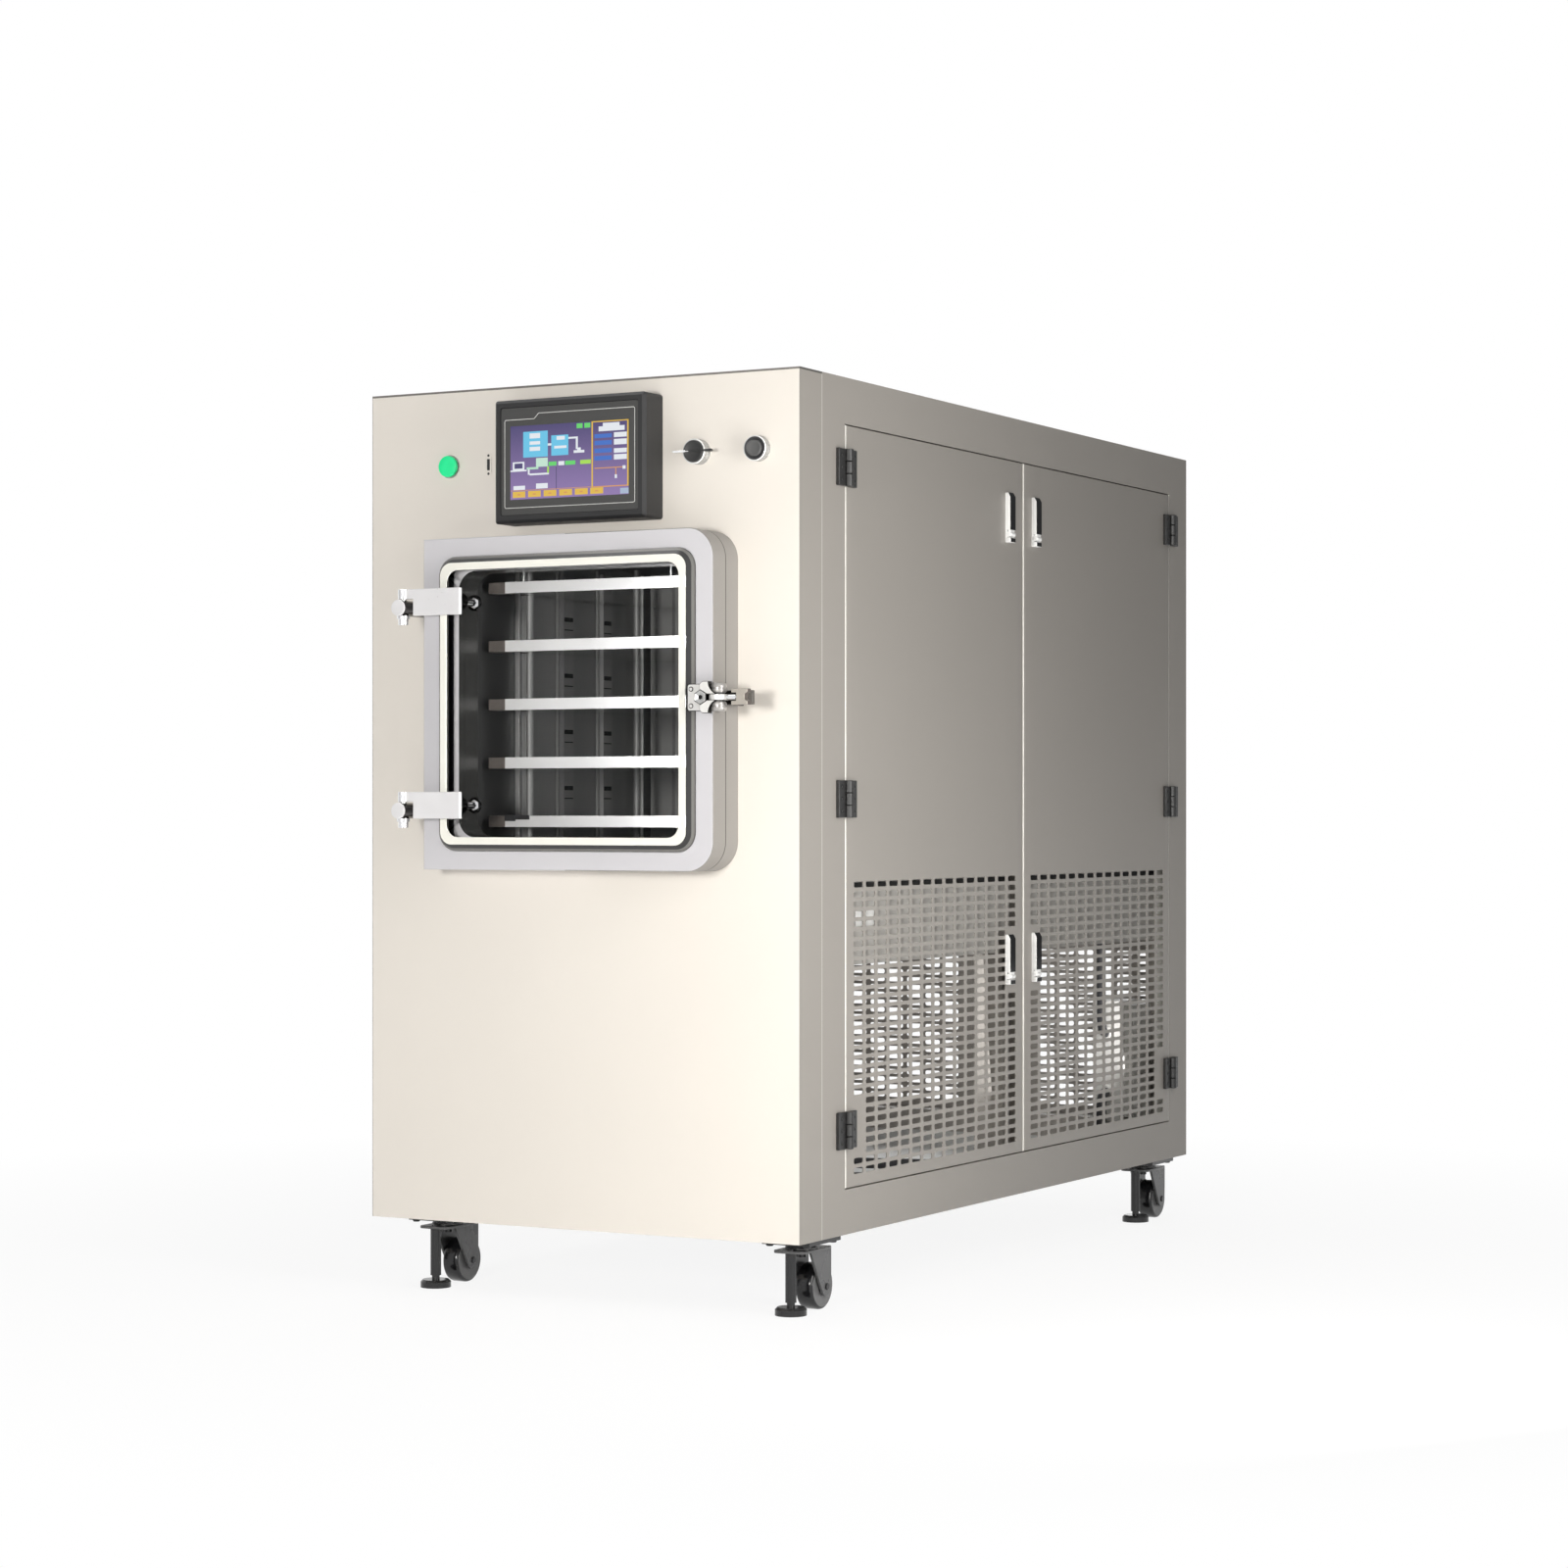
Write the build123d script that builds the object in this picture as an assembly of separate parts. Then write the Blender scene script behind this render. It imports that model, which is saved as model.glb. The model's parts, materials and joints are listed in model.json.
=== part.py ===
"""Pilot freeze dryer: a shelf chamber with a window door in a cabinet on levelling casters.

Millimetres. +X is the operator's right, the front faces -Y, +Z is up, and Z = 0 is the floor.
Places are given as (x, depth, rise): depth is measured back from the fascia, and rise up from the
cabinet's underside. The origin is at the bottom centre of the object's box.
"""
from build123d import *
import math
import os

# ---- driving dimensions ----
CABINET_W = 654.0
CABINET_L = 1300.0
CABINET_H = 1105.0
CASTER_H = 95.0
HINGE_REACH = 103.0                     # how far the door's hinge posts stand in front of the fascia
FRONT_Y = HINGE_REACH - (CABINET_L + HINGE_REACH) / 2
HALF_W = CABINET_W / 2

SHEET = 1.5                             # folded covers
TUBE_WALL = 2.0
FASCIA_RETURN = 60.0                    # depth of the fascia's folded sides
REAR_COVER_DEPTH = 14.0
FRAME_W = 40.0                          # width of the frame tubes
TOP_RAIL_RISE = 1045.0
BOTTOM_RAIL_H = 58.0
TOP_COVER_T = 4.0
REAR_DEPTH = CABINET_L - REAR_COVER_DEPTH

# side doors: a front and a rear door meet at the middle of the opening
DOOR_W = 553.0
DOOR_OPENING = (122.7, 122.7 + 2 * DOOR_W)
DOOR_MEET = DOOR_OPENING[0] + DOOR_W
DOOR_GAP = 1.5
DOOR_RETURN = 20.0
SLOT_COLUMNS = 15
SLOT_ROWS = 30
SLOT_W = 26.7
SLOT_H = 7.8
COLUMN_PITCH = 34.0
ROW_PITCH = 12.8
TOP_ROW_RISE = 450.7
HINGE_RISES = (988.0, 561.5, 135.0)
LATCH_RISES = (962.0, 336.0)
FRONT_LATCH_INSET = 52.0
REAR_LATCH_INSET = 38.0

# chamber
CHAMBER_X = 19.0
CHAMBER_RISE = 686.0
FLANGE_W = 438.0
FLANGE_H = 433.0
FLANGE_T = 32.0
DOOR_SLAB_T = 32.0
FACE_GAP = 0.5                          # from the door to the flange, closed by the seal
THROAT_W = 352.0
THROAT_H = 348.0
THROAT_R = 25.0
SHELL_W = 400.0
SHELL_H = 412.0
SHELL_L = 520.0
SHELL_R = 14.0
SHELL_WALL = 4.0
PANE_W = 386.0
PANE_H = 383.0
PANE_PROUD = 10.0
PANE_BEVEL = 8.0
PANE_POCKET = 20.0
RING_W = 9.5
SHELF_SIZE = (300.0, 400.0, 15.0)
SHELF_FRONT = 39.0
SHELF_PITCH = 77.8
SHELF_COUNT = 5
TOP_SHELF_RISE = 843.5

# door hinges
ARM_RISES = (818.6, 553.5)
ARM_END_X = -124.0
ARM_H = 35.0
ARM_T = 6.0
PIVOT_X = -214.0
PIVOT_DEPTH = -90.0
POST_R = 10.5
POST_DROP = 7.0                         # post's axis below the arm's middle
PIN_R = 4.0
RUNNING = 0.1                           # radial clearance of pins and shafts

# controls
CONTROL_RISE = 1004.0
GREEN_X, USB_X, SELECTOR_X, BLACK_X = -201.0, -140.0, 182.0, 269.0
PANEL_X = (-102.0, 127.0)
PANEL_RISE = (920.5, 1081.0)
PANEL_PROUD = 45.0
BEZEL = 10.0

# casters: plate centres, as (x, depth)
CASTER_XS = {"left": -251.5, "right": 292.5}
CASTER_DEPTHS = {"front": 68.5, "rear": 1202.5}
WHEEL_R = 30.0
WHEEL_W = 26.0
WHEEL_TRAIL = 34.5
FOOT_LEAD = 28.5
FOOT_PAD_R = 20.5


# ---- places and shared forms ----
def at(x, depth, rise):
    """The location of a place given across, in depth and in rise."""
    return Pos(x, FRONT_Y + depth, CASTER_H + rise)


def block(xs, depths, rises):
    """A rectangular solid between its low and high limits."""
    spans = (xs, depths, rises)
    middle = [(low + high) / 2 for low, high in spans]
    return at(*middle) * Box(*(high - low for low, high in spans))


def facing_front(depth, x=0.0, rise=0.0):
    """Sketch plane parallel to the fascia; extruding grows towards the operator."""
    origin = (x, FRONT_Y + depth, CASTER_H + rise)
    return Plane(origin=origin, x_dir=(1, 0, 0), z_dir=(0, -1, 0))


def facing_back(depth, x=0.0, rise=0.0):
    """Sketch plane parallel to the rear; extruding grows backwards, and local y runs down."""
    origin = (x, FRONT_Y + depth, CASTER_H + rise)
    return Plane(origin=origin, x_dir=(1, 0, 0), z_dir=(0, 1, 0))


def facing_right(x, depth=0.0, rise=0.0):
    """Sketch plane parallel to the right side; extruding grows outwards, and local x runs back."""
    origin = (x, FRONT_Y + depth, CASTER_H + rise)
    return Plane(origin=origin, x_dir=(0, 1, 0), z_dir=(1, 0, 0))


def facing_up(rise, x=0.0, depth=0.0):
    """Sketch plane parallel to the floor; extruding grows upwards, and local y runs back."""
    origin = (x, FRONT_Y + depth, CASTER_H + rise)
    return Plane(origin=origin, x_dir=(1, 0, 0), z_dir=(0, 0, 1))


def disc(plane, radius, height):
    """A round solid that grows from a sketch plane."""
    return extrude(plane * Circle(radius), amount=height)


def tray(xs, depths, rises, open_axis, open_high, thickness):
    """A folded sheet tray: a box shelled from the face at one end of an axis."""
    solid = block(xs, depths, rises)
    faces = solid.faces().sort_by(open_axis)
    opened = faces[-1] if open_high else faces[0]
    return offset(solid, amount=-thickness, openings=opened)


def tube(plane, width, height, length):
    """A rectangular frame tube that grows from a sketch plane."""
    bore = Rectangle(width - 2 * TUBE_WALL, height - 2 * TUBE_WALL)
    return extrude(plane * (Rectangle(width, height) - bore), amount=length)


def both_sides(right_hand):
    """The right-hand solids and their mirror images on the left."""
    return right_hand + [mirror(solid, about=Plane.YZ) for solid in right_hand]


def pattern(plane, places, outline):
    """Copies of an outline at places on a sketch plane, as one sketch."""
    return Sketch() + [plane * place * outline for place in places]


def group(solids):
    """Separate solids that share one node."""
    return Compound(children=list(solids))


# ---- frame ----
def frame_uprights():
    """Four corner posts and two mullions, behind the side doors' edges."""
    height = TOP_RAIL_RISE - BOTTOM_RAIL_H
    post_x = HALF_W - FRAME_W / 2
    front_w = DOOR_OPENING[0] - FASCIA_RETURN
    rear_w = REAR_DEPTH - DOOR_OPENING[1]
    front = facing_up(BOTTOM_RAIL_H, post_x, FASCIA_RETURN + front_w / 2)
    rear = facing_up(BOTTOM_RAIL_H, post_x, REAR_DEPTH - rear_w / 2)
    middle = facing_up(BOTTOM_RAIL_H, post_x - DOOR_RETURN - 4, DOOR_MEET)
    right_hand = [
        tube(front, FRAME_W, front_w, height),
        tube(rear, FRAME_W, rear_w, height),
        tube(middle, FRAME_W, FRAME_W, height),
    ]
    return group(both_sides(right_hand))


MID_RAIL = (425.0, 452.0)


def frame_rails():
    """Side rails along the top, middle and bottom, and cross rails at the front and rear."""
    rail_x = HALF_W - FRAME_W / 2
    top_h = CABINET_H - TOP_COVER_T - TOP_RAIL_RISE
    length = REAR_DEPTH - FASCIA_RETURN
    along = [(BOTTOM_RAIL_H, BOTTOM_RAIL_H / 2, rail_x), (top_h, TOP_RAIL_RISE + top_h / 2, rail_x)]
    right_hand = []
    for height, rise, x in along:
        right_hand.append(tube(facing_back(FASCIA_RETURN, x, rise), FRAME_W, height, length))
    mid_h = MID_RAIL[1] - MID_RAIL[0]
    mid_rise = sum(MID_RAIL) / 2
    mid_x = rail_x - DOOR_RETURN - 4
    span = DOOR_W - FRAME_W / 2
    for start in (DOOR_OPENING[0], DOOR_MEET + FRAME_W / 2):
        right_hand.append(tube(facing_back(start, mid_x, mid_rise), FRAME_W, mid_h, span))
    rails = both_sides(right_hand)
    cross_x = -(HALF_W - FRAME_W)
    for depth in (FASCIA_RETURN + FRAME_W / 2, REAR_DEPTH - FRAME_W / 2):
        for height, rise, _ in along:
            plane = facing_right(cross_x, depth, rise)
            rails.append(tube(plane, FRAME_W, height, -2 * cross_x))
        rails.append(tube(facing_right(cross_x, depth, mid_rise), FRAME_W, mid_h, -2 * cross_x))
    return group(rails)


def base_pan():
    """Shallow tray that closes the bottom between the rails and carries the machinery."""
    inner_x = HALF_W - FRAME_W
    depths = (FASCIA_RETURN + FRAME_W, REAR_DEPTH - FRAME_W)
    return tray((-inner_x, inner_x), depths, (0, 24), Axis.Z, True, TUBE_WALL)


DECK_RISE = MID_RAIL[1]
DECK_SKIRT = 107.0
DECK_X = HALF_W - DOOR_RETURN - 2


def equipment_deck():
    """Folded deck under the chamber, with deep side skirts that show behind the upper slots."""
    depths = (DOOR_OPENING[0] + 1, DOOR_OPENING[1] - 1)
    outline = block((-DECK_X, DECK_X), depths, (DECK_RISE - DECK_SKIRT, DECK_RISE + SHEET))
    hollow_x = DECK_X - SHEET
    outline -= block((-hollow_x, hollow_x), (0, CABINET_L), (DECK_RISE - DECK_SKIRT - 1, DECK_RISE))
    for side in (-1, 1):
        limits = sorted((side * (DECK_X - SHEET - FRAME_W - 1), side * (DECK_X - SHEET)))
        notch = (DOOR_MEET - FRAME_W / 2 - 1, DOOR_MEET + FRAME_W / 2 + 1)
        outline -= block(limits, notch, (DECK_RISE - 1, DECK_RISE + 4))
    window = (DOOR_OPENING[0] + 72, DOOR_OPENING[0] + 132)
    outline -= block((-HALF_W, HALF_W), window, (DECK_RISE - 57, DECK_RISE - 32))
    return outline


# ---- covers ----
def fascia_cut_outs():
    """Everything that passes through the fascia's front sheet."""
    sheet = (-1.0, SHEET + 1.0)
    plane = facing_front(sheet[1], CHAMBER_X, CHAMBER_RISE)
    cuts = [extrude(plane * RectangleRounded(SHELL_W + 1, SHELL_H + 1, SHELL_R), amount=SHEET + 2)]
    for x in (GREEN_X, SELECTOR_X, BLACK_X):
        cuts.append(disc(facing_front(sheet[1], x, CONTROL_RISE), 11.25, SHEET + 2))
    cuts.append(block((USB_X - 5, USB_X + 5), sheet, (CONTROL_RISE - 10, CONTROL_RISE + 10)))
    panel_mid = sum(PANEL_X) / 2
    cuts.append(disc(facing_front(sheet[1], panel_mid, CONTROL_RISE), 20, SHEET + 2))
    return cuts


def front_fascia():
    """Front cover folded back 60 mm on all four sides."""
    cover = tray((-HALF_W, HALF_W), (0, FASCIA_RETURN), (0, CABINET_H), Axis.Y, True, SHEET)
    for cut in fascia_cut_outs():
        cover -= cut
    return cover


def top_cover():
    """Flat lid over the frame, with a turned-down lip inside the rails."""
    lid = block((-HALF_W, HALF_W), (FASCIA_RETURN, REAR_DEPTH), (CABINET_H - TOP_COVER_T, CABINET_H))
    inner_x = HALF_W - FRAME_W
    depths = (FASCIA_RETURN + FRAME_W, REAR_DEPTH - FRAME_W)
    lip_rises = (CABINET_H - TOP_COVER_T - 18, CABINET_H - TOP_COVER_T)
    lip = block((-inner_x, inner_x), depths, lip_rises)
    hollow = block(
        (-inner_x + SHEET, inner_x - SHEET),
        (depths[0] + SHEET, depths[1] - SHEET),
        lip_rises,
    )
    return lid + (lip - hollow)


VENT_X = (55.0, 288.0)
VENT_RISE = (64.0, 330.0)
INLET_AT = (-215.0, 395.0)
INLET_SIZE = (28.0, 22.0)
LOUVRE_XS = (-170.0, 170.0)
LOUVRE_RISE = 840.0
LOUVRE_COUNT = 8


def rear_cover():
    """Back cover with two large air openings low down, rows of louvre slots and the mains inlet."""
    cover = tray((-HALF_W, HALF_W), (REAR_DEPTH, CABINET_L), (0, CABINET_H), Axis.Y, False, SHEET)
    through = (CABINET_L - SHEET - 1, CABINET_L + 1)
    for side in (-1, 1):
        limits = sorted(side * x for x in VENT_X)
        cover -= block(limits, through, VENT_RISE)
    louvre = Rectangle(150, 6)
    for x in LOUVRE_XS:
        plane = facing_back(through[0], x, LOUVRE_RISE)
        cover -= extrude(pattern(plane, GridLocations(0, 22, 1, LOUVRE_COUNT), louvre), amount=SHEET + 2)
    x, rise = INLET_AT
    cover -= extrude(facing_back(through[0], x, rise) * Rectangle(*INLET_SIZE), amount=SHEET + 2)
    return cover


# ---- chamber ----
def door_outline():
    """The outline shared by the flange and the door: square at the hinges, rounded at the latch."""
    outline = Rectangle(FLANGE_W, FLANGE_H)
    latch_corners = outline.vertices().sort_by(Axis.X)[-2:]
    return fillet(latch_corners, 38)


def throat():
    return RectangleRounded(THROAT_W, THROAT_H, THROAT_R)


GROOVE_DEPTH = 3.5


def seal_outline():
    outer = RectangleRounded(THROAT_W + 26, THROAT_H + 26, THROAT_R + 13)
    return outer - RectangleRounded(THROAT_W + 6, THROAT_H + 6, THROAT_R + 3)


def chamber_flange():
    """Machined flange in front of the fascia, with the seal's groove."""
    front = facing_front(0, CHAMBER_X, CHAMBER_RISE)
    ring = extrude(front * (door_outline() - throat()), amount=FLANGE_T - FACE_GAP)
    groove = facing_front(-FLANGE_T + FACE_GAP + GROOVE_DEPTH, CHAMBER_X, CHAMBER_RISE)
    return ring - extrude(groove * seal_outline(), amount=GROOVE_DEPTH + 1)


def chamber_seal():
    """Flat silicone ring in the flange's groove, just clear of the closed door."""
    groove = facing_front(-FLANGE_T + FACE_GAP + GROOVE_DEPTH, CHAMBER_X, CHAMBER_RISE)
    return extrude(groove * seal_outline(), amount=GROOVE_DEPTH + FACE_GAP / 2)


PORT_R = 71.0
PORT_RISE = 700.0


def chamber_body():
    """Welded box with two stiffening bands and two saddle feet, open to the front and to the trap."""
    front = facing_front(SHELL_L, CHAMBER_X, CHAMBER_RISE)
    outer = RectangleRounded(SHELL_W, SHELL_H, SHELL_R)
    inner = RectangleRounded(SHELL_W - 2 * SHELL_WALL, SHELL_H - 2 * SHELL_WALL, SHELL_R - SHELL_WALL)
    shell = extrude(front * outer, amount=SHELL_L)
    shell -= extrude(facing_front(SHELL_L - SHELL_WALL, CHAMBER_X, CHAMBER_RISE) * inner, amount=SHELL_L)
    band = RectangleRounded(SHELL_W + 24, SHELL_H + 24, SHELL_R) - outer
    for depth in (180.0, 420.0):
        shell += extrude(facing_front(depth, CHAMBER_X, CHAMBER_RISE) * band, amount=10)
    foot_top = CHAMBER_RISE - SHELL_H / 2 + 1
    for depth in (165.0, 405.0):
        foot = (CHAMBER_X - 150, CHAMBER_X + 150)
        shell += block(foot, (depth, depth + 20), (DECK_RISE + SHEET, foot_top))
    shell -= disc(facing_front(SHELL_L + 1, CHAMBER_X, PORT_RISE), PORT_R, SHELL_WALL + 2)
    return shell


def shelf_rises():
    return [TOP_SHELF_RISE - SHELF_PITCH * i for i in range(SHELF_COUNT)]


POST_DEPTHS = (SHELF_FRONT + 60, SHELF_FRONT + 340)
SHELF_POST_R = 5.0
LUG_REACH = 16.0


def shelf_post_places():
    half = SHELF_SIZE[0] / 2 + LUG_REACH / 2
    return [(CHAMBER_X + side * half, depth) for side in (-1, 1) for depth in POST_DEPTHS]


def shelves():
    """Five heated shelves, each with four lugs that slide on the posts."""
    width, length, thickness = SHELF_SIZE
    solids = []
    for rise in shelf_rises():
        bottom = facing_up(rise - thickness / 2, CHAMBER_X, SHELF_FRONT + length / 2)
        shelf = extrude(bottom * Rectangle(width, length), amount=thickness)
        for x, depth in shelf_post_places():
            side = math.copysign(1, x - CHAMBER_X)
            lug_x = sorted((x + side * LUG_REACH / 2, x - side * (LUG_REACH / 2 + 1)))
            shelf += block(lug_x, (depth - 10, depth + 10), (rise - thickness / 2, rise + thickness / 2))
        for x, depth in shelf_post_places():
            shelf -= disc(facing_up(rise - thickness, x, depth), SHELF_POST_R + RUNNING, 2 * thickness)
        solids.append(shelf)
    return group(solids)


def shelf_posts():
    """Four round posts from the chamber's floor to its roof."""
    half = SHELL_H / 2 - SHELL_WALL
    return group(
        disc(facing_up(CHAMBER_RISE - half, x, depth), SHELF_POST_R, 2 * half)
        for x, depth in shelf_post_places()
    )


BAFFLE_DEPTH = 462.0
BAFFLE_W = 370.0
BAFFLE_STRIPS = 9


def rear_baffle():
    """Corrugated baffle in front of the trap's port: vertical ribs with small vapour slots."""
    pitch = BAFFLE_W / BAFFLE_STRIPS
    rib = 8.0
    ridge = 5.0
    points = []
    for i in range(BAFFLE_STRIPS):
        left = -BAFFLE_W / 2 + i * pitch
        points += [(left, 0), (left + pitch - rib, 0), (left + pitch - rib + 2, -ridge)]
        points += [(left + pitch - 2, -ridge)]
    points.append((BAFFLE_W / 2, 0))
    back = [(x, y + 2.0) for x, y in reversed(points)]
    outline = make_face(Polyline(*(points + back), close=True))
    floor = CHAMBER_RISE - SHELL_H / 2 + SHELL_WALL
    height = SHELL_H - 2 * SHELL_WALL
    baffle = extrude(facing_up(floor, CHAMBER_X, BAFFLE_DEPTH) * outline, amount=height)
    slots = GridLocations(pitch, SHELF_PITCH, BAFFLE_STRIPS, SHELF_COUNT)
    face = facing_front(BAFFLE_DEPTH + 4, CHAMBER_X - rib / 2, CHAMBER_RISE)
    return baffle - extrude(pattern(face, slots, Rectangle(22, 6)), amount=8)


# ---- chamber door ----
def door_frame():
    """Slab that holds the pane in a pocket, with a lip behind it."""
    back = facing_front(-FLANGE_T - FACE_GAP / 2, CHAMBER_X, CHAMBER_RISE)
    slab = extrude(back * (door_outline() - throat()), amount=DOOR_SLAB_T - FACE_GAP / 2)
    pocket = facing_front(-FLANGE_T - DOOR_SLAB_T + PANE_POCKET, CHAMBER_X, CHAMBER_RISE)
    opening = RectangleRounded(PANE_W + 0.6, PANE_H + 0.6, THROAT_R + 0.3)
    slab -= extrude(pocket * opening, amount=PANE_POCKET + 1)
    edges = slab.edges().group_by(Axis.Y)[0]
    return chamfer(edges, 1.0)


PANE_BACK = -FLANGE_T - DOOR_SLAB_T + PANE_POCKET
PANE_FRONT = -FLANGE_T - DOOR_SLAB_T - PANE_PROUD
STUD_X = -134.0
STUD_R = 5.0


def window_pane():
    """Thick clear pane with a wide bevel round its front."""
    back = facing_front(PANE_BACK, CHAMBER_X, CHAMBER_RISE)
    outline = RectangleRounded(PANE_W, PANE_H, THROAT_R)
    pane = extrude(back * outline, amount=PANE_POCKET + PANE_PROUD)
    front_edges = pane.edges().group_by(Axis.Y)[0]
    front_face = pane.faces().sort_by(Axis.Y)[0]
    pane = chamfer(front_edges, PANE_PROUD, PANE_BEVEL, reference=front_face)
    for rise in ARM_RISES:
        hole = facing_front(PANE_BACK + 1, STUD_X, rise)
        pane -= disc(hole, STUD_R + RUNNING, PANE_POCKET + PANE_PROUD + 2)
    return pane


def window_ring():
    """Pale clamping ring round the pane's front face."""
    front = facing_front(PANE_FRONT, CHAMBER_X, CHAMBER_RISE)
    width, height = PANE_W - 2 * PANE_BEVEL, PANE_H - 2 * PANE_BEVEL
    outer = RectangleRounded(width, height, THROAT_R - PANE_BEVEL)
    inner = RectangleRounded(width - 2 * RING_W, height - 2 * RING_W, THROAT_R - PANE_BEVEL)
    return extrude(front * (outer - inner), amount=1.5)


KNUCKLE_R = 7.0
ARM_NOTCH = 20.0


def hinge_arms():
    """Two flat arms, each with a pivot knuckle and a stud through the pane."""
    arms = []
    for rise in ARM_RISES:
        half = ARM_H / 2
        knuckle_low = -POST_DROP + POST_R + 0.5
        reach = ARM_END_X - PIVOT_X
        outline = Polyline(
            (0, knuckle_low), (0, half), (reach, half), (reach, -half),
            (ARM_NOTCH, -half), (ARM_NOTCH, knuckle_low), close=True,
        )
        plate = facing_front(PIVOT_DEPTH + ARM_T / 2, PIVOT_X, rise)
        arm = extrude(plate * make_face(outline), amount=ARM_T)
        pivot = facing_up(rise + knuckle_low, PIVOT_X, PIVOT_DEPTH)
        arm += disc(pivot, KNUCKLE_R, half - knuckle_low)
        arm -= disc(pivot, PIN_R + RUNNING, half - knuckle_low)
        spacer = PANE_FRONT - (PIVOT_DEPTH + ARM_T / 2)
        arm += disc(facing_front(PANE_FRONT, STUD_X, rise), 11, spacer)
        arm += disc(facing_front(PANE_BACK, STUD_X, rise), STUD_R, PANE_POCKET + PANE_PROUD)
        arm += disc(facing_front(PANE_BACK + 3, STUD_X, rise), 10.5, 3)
        nut = RegularPolygon(7.5, 6)
        arm += extrude(facing_front(PANE_BACK + 9, STUD_X, rise) * nut, amount=6)
        arms.append(arm)
    return group(arms)


def hinge_posts():
    """Two round posts on the fascia, each with a base washer and a vertical pin and nut."""
    posts = []
    for rise in ARM_RISES:
        centre = rise - POST_DROP
        post = disc(facing_front(0, PIVOT_X, centre), POST_R, HINGE_REACH)
        post += disc(facing_front(0, PIVOT_X, centre), 13.5, 6)
        pin_low = centre - POST_R - 9
        post += disc(facing_up(pin_low, PIVOT_X, PIVOT_DEPTH), PIN_R, rise + ARM_H / 2 - pin_low)
        nut_plane = facing_up(centre - POST_R - 5, PIVOT_X, PIVOT_DEPTH)
        nut = extrude(nut_plane * RegularPolygon(7.5, 6), amount=8)
        posts.append(post + nut)
    return group(posts)


# ---- chamber door latch ----
LATCH_RISE = 688.0
LATCH_PLATE_X = (209.0, 236.0)
BARREL_X = (236.0, 262.0)
BARREL_DEPTH = -74.0
ROD_PIVOT_X = 252.0
ROD_R = 3.5
ROD_LENGTH = 19.5
KEEPER_X = (264.0, 291.0)


def latch_plate():
    """Plate screwed to the door, with a hexagonal boss and a forked, waisted barrel at its end."""
    face = -FLANGE_T - DOOR_SLAB_T
    mid_x = sum(LATCH_PLATE_X) / 2
    width = LATCH_PLATE_X[1] - LATCH_PLATE_X[0]
    clear = CHAMBER_X + PANE_W / 2 + 1
    plate = block((clear, LATCH_PLATE_X[1]), (face - 11, face), (LATCH_RISE - 14, LATCH_RISE + 14))
    outline = RectangleRounded(width, 34, 3)
    plate += extrude(facing_front(face - 11, mid_x, LATCH_RISE) * outline, amount=3)
    boss = RegularPolygon(8.5, 6, rotation=30)
    plate += extrude(facing_front(face - 14, mid_x + 4, LATCH_RISE) * boss, amount=4)
    for step in (-8.5, 8.5):
        plate += disc(facing_front(face - 14, LATCH_PLATE_X[0] + 5, LATCH_RISE + step), 2.5, 1.5)
    length = BARREL_X[1] - BARREL_X[0]
    profile = Polyline((0, 0), (0, 18), (6, 20), (length - 6, 20), (length, 12), (length, 0), close=True)
    lathe = Plane(
        origin=at(BARREL_X[0], BARREL_DEPTH, LATCH_RISE).position, x_dir=(1, 0, 0), z_dir=(0, -1, 0)
    )
    axis = Axis(lathe.origin, (1, 0, 0))
    barrel = revolve(lathe * make_face(profile), axis)
    keep = (face - 40, face)
    barrel &= block((BARREL_X[0], BARREL_X[1]), keep, (LATCH_RISE - 20, LATCH_RISE + 20))
    fork = (LATCH_RISE - ROD_R - 1.5, LATCH_RISE + ROD_R + 1.5)
    barrel -= block((BARREL_X[0] + 6, BARREL_X[1] + 1), (face - 41, face + 1), fork)
    pin = facing_up(LATCH_RISE - 16, ROD_PIVOT_X, BARREL_DEPTH)
    return plate + barrel + disc(pin, 2.5, 32)


def latch_rod():
    """Swing rod with an eye on the barrel's pin and a plain tip that lies in the keeper's fork."""
    eye = facing_up(LATCH_RISE - ROD_R, ROD_PIVOT_X, BARREL_DEPTH)
    rod = disc(eye, 6.5, 2 * ROD_R)
    rod += disc(facing_right(ROD_PIVOT_X, BARREL_DEPTH, LATCH_RISE), ROD_R, ROD_LENGTH)
    return rod - disc(eye, 2.5 + RUNNING, 2 * ROD_R)


def latch_keeper():
    """H-shaped keeper on an arm from the flange's side; its fork is open to the front and rear."""
    outline = Rectangle(KEEPER_X[1] - KEEPER_X[0], 20)
    mid_x = sum(KEEPER_X) / 2
    for side in (-1, 1):
        outline -= Pos(side * 9.5, 0) * Rectangle(9, 11)
    h_piece = extrude(facing_front(-62, mid_x, LATCH_RISE) * outline, amount=22)
    arm_x = (244.0, 250.0)
    bridge = (LATCH_RISE - 9, LATCH_RISE + 9)
    arm = block(arm_x, (-52, -6), bridge)
    arm += block((CHAMBER_X + FLANGE_W / 2, arm_x[0] + 1), (-26, -6), bridge)
    arm += block((arm_x[0], KEEPER_X[1] - 4), (-56, -50), bridge)
    neck = block((mid_x - 4, mid_x + 4), (-62.5, -52), (LATCH_RISE - 9, LATCH_RISE + 9))
    return h_piece + arm + neck


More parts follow.
